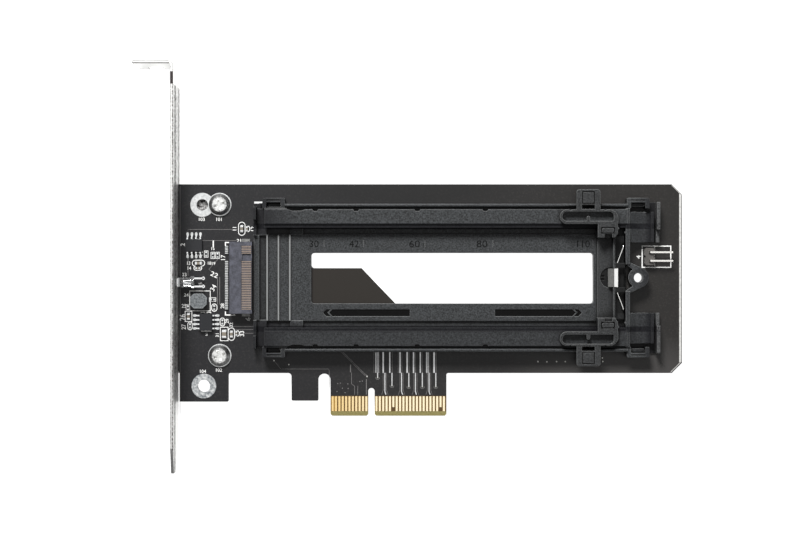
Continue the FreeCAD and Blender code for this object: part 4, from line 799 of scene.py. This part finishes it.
# Painted shade: the numbers of the scale, which stand up from the plate, and the arrows' floors are
# painted a deep black, without the grain's grey, for the shadow that lies in engraved and pressed
# strokes.
shade_painted_nylon = mottled("black_nylon_painted_shade", 0.6, 3.0, "#020202", "#0A0A0A", Roughness=0.6,
                      Specular_IOR_Level=0.08)
PLATE_TOP = BOARD_TOP + 1.5
MARK_LOW, MARK_HIGH, MARK_Y = PLATE_TOP - 0.02, PLATE_TOP + 0.06, 51.0
scale_words = [("30", -16.95, MARK_Y, 2.0, 0, 1.0), ("42", -5.12, MARK_Y, 2.0, 0, 1.0),
               ("60", 12.77, MARK_Y, 2.0, 0, 1.15), ("80", 32.73, MARK_Y, 2.0, 0, 1.15),
               ("110", 62.75, MARK_Y, 2.0, 0, 1.0)]
lettering("carrier_scale", scale_words, MARK_LOW, MARK_HIGH, shade_painted_nylon,
          -0.01)

# Three clips' feet fill their slots to just under the board's top, and a tick stands by each
# number of the scale.
raised("carrier_clip_feet", [rectangle(-32.7, 62.3, 1.2, 1.6), rectangle(-30.8, 62.3, 1.3, 2.6),
                             rectangle(-30.8, 19.5, 1.3, 2.6)], BOARD_UNDER, BOARD_TOP - 0.05,
       carrier_nylon)
ticks = [rectangle(x, MARK_Y, 0.25, 2.2) for x in (-14.0, -2.3, 15.9, 36.0, 65.6)]
raised("carrier_scale_ticks", ticks, MARK_LOW, MARK_HIGH, carrier_nylon)

# Two pointed bars and chevrons are pressed in, with a floor painted darker, a painted shade.
FLOOR = PLATE_TOP - 0.25
near_y, mid_y, far_y = 29.6, 30.6, 31.6
shapes = []
for inner, tip, way in ((11.4, -14.3, -1), (36.6, 62.3, 1)):
    root = tip - way * 1.7
    bar = root - way * 0.1
    shapes.append([(inner, near_y), (bar - way, near_y), (bar, mid_y), (bar - way, far_y),
                   (inner, far_y)])
    shapes.append([(root - way * 0.6, near_y), (tip - way, near_y), (tip, mid_y),
                   (root + way * 0.4, mid_y)])
    shapes.append([(root + way * 0.4, mid_y), (tip, mid_y), (tip - way, far_y),
                   (root - way * 0.6, far_y)])
raised("carrier_arrows", shapes, FLOOR - 0.01, FLOOR + 0.01, shade_painted_nylon)

# --- Length slider, catch and spring -------------------------------------------------------
# The slider is a separate moulding of the same nylon. Its catch is folded from sheet steel,
# and a bow of stainless spring wire lies behind it.
slider_nylon, tree, shader, place, axes, aside, _, edged = moulded(
    "black_slider_nylon", "#181919", "#404142")

# Painted shade: the round recess and the shelf behind it lie deep in shadow and are painted nearly
# black.
RECESS_X, RECESS_Z, RECESS_R, SHELF_START, SHELF_HALF = 70.6, 2.2, 3.1, 71.9, 10.5
hub = add(tree, "VectorMath", {0: place, 1: (RECESS_X * MM, CENTRE_Y * MM, RECESS_Z * MM)},
          operation="DISTANCE")
in_recess = add(tree, "Math", {0: hub.outputs["Value"], 1: RECESS_R * MM},
                operation="LESS_THAN")
behind = add(tree, "Math", {0: axes.outputs["X"], 1: SHELF_START * MM},
             operation="GREATER_THAN")
beside = add(tree, "Math", {0: axes.outputs["Y"], 1: CENTRE_Y * MM, 2: SHELF_HALF * MM},
             operation="COMPARE")
on_shelf = add(tree, "Math", {0: behind, 1: beside}, operation="MULTIPLY")
deep_hollow = add(tree, "Math", {0: in_recess, 1: on_shelf}, operation="MAXIMUM")
recess_painted_shade = add(tree, "MapRange", {"Value": deep_hollow, "To Max": 0.88})
shaded = add(tree, "MixRGB", {"Fac": recess_painted_shade, "Color1": edged, "Color2": colour("#060606")})

# Painted shade: a thin black line is painted along the groove round each peg and each finger tab,
# for the shadow inside it. The pairs are its middle, along and off the centre line, and its half
# lengths.
for middle, reach in (((69.445, 13.9), (1.9, 0.82)), ((63.73, 23.5), (1.675, 1.7))):
    sides = []
    for axis, centre, half in zip((axes.outputs["X"], aside), middle, reach):
        side = add(tree, "Math", {0: axis, 1: centre * MM}, operation="SUBTRACT")
        side = add(tree, "Math", {0: side}, operation="ABSOLUTE")
        sides.append(add(tree, "Math", {0: side, 1: half * MM}, operation="SUBTRACT"))
    groove = add(tree, "Math", {0: sides[0], 1: sides[1]}, operation="MAXIMUM")
    groove = add(tree, "Math", {0: groove, 1: 0.0, 2: 0.17 * MM}, operation="COMPARE")
    shaded = add(tree, "MixRGB", {"Fac": groove, "Color1": shaded, "Color2": colour("#030303")})
fill(shader, {"Base Color": shaded})
dress("length_slider", slider_nylon)

# Satin sheet steel, clouded in two greys. Its flat lip, where drives slide in, is painted bright,
# a painted reflection of the softbox overhead.
LIP_START = 71.55
catch_steel, tree, shader, place = surface("satin_folded_steel", Metallic=1.0, Roughness=0.38)
matt = add(tree, "TexNoise", {"Vector": place, "Scale": 1 / (0.45 * MM), "Detail": 4.0})
satin = add(tree, "MixRGB", {"Fac": matt, "Color1": colour("#9C9C9A"),
                             "Color2": colour("#F0F0EC")})
axes = add(tree, "SeparateXYZ", {"Vector": place})
on_lip = add(tree, "Math", {0: axes.outputs["X"], 1: LIP_START * MM}, operation="GREATER_THAN")
fill(shader, {"Base Color": add(tree, "MixRGB", {"Fac": on_lip, "Color1": satin,
                                                 "Color2": colour("#F6F6F4")})})
dress("drive_catch", catch_steel)

# Drawn wire, bright and nearly smooth.
spring_wire = uneven("drawn_stainless_wire", 0.3, 2.0, 0.1, 0.01, Base_Color=colour("#E2E2DF"),
                     Metallic=1.0, Roughness=0.2)
dress("catch_spring", spring_wire)
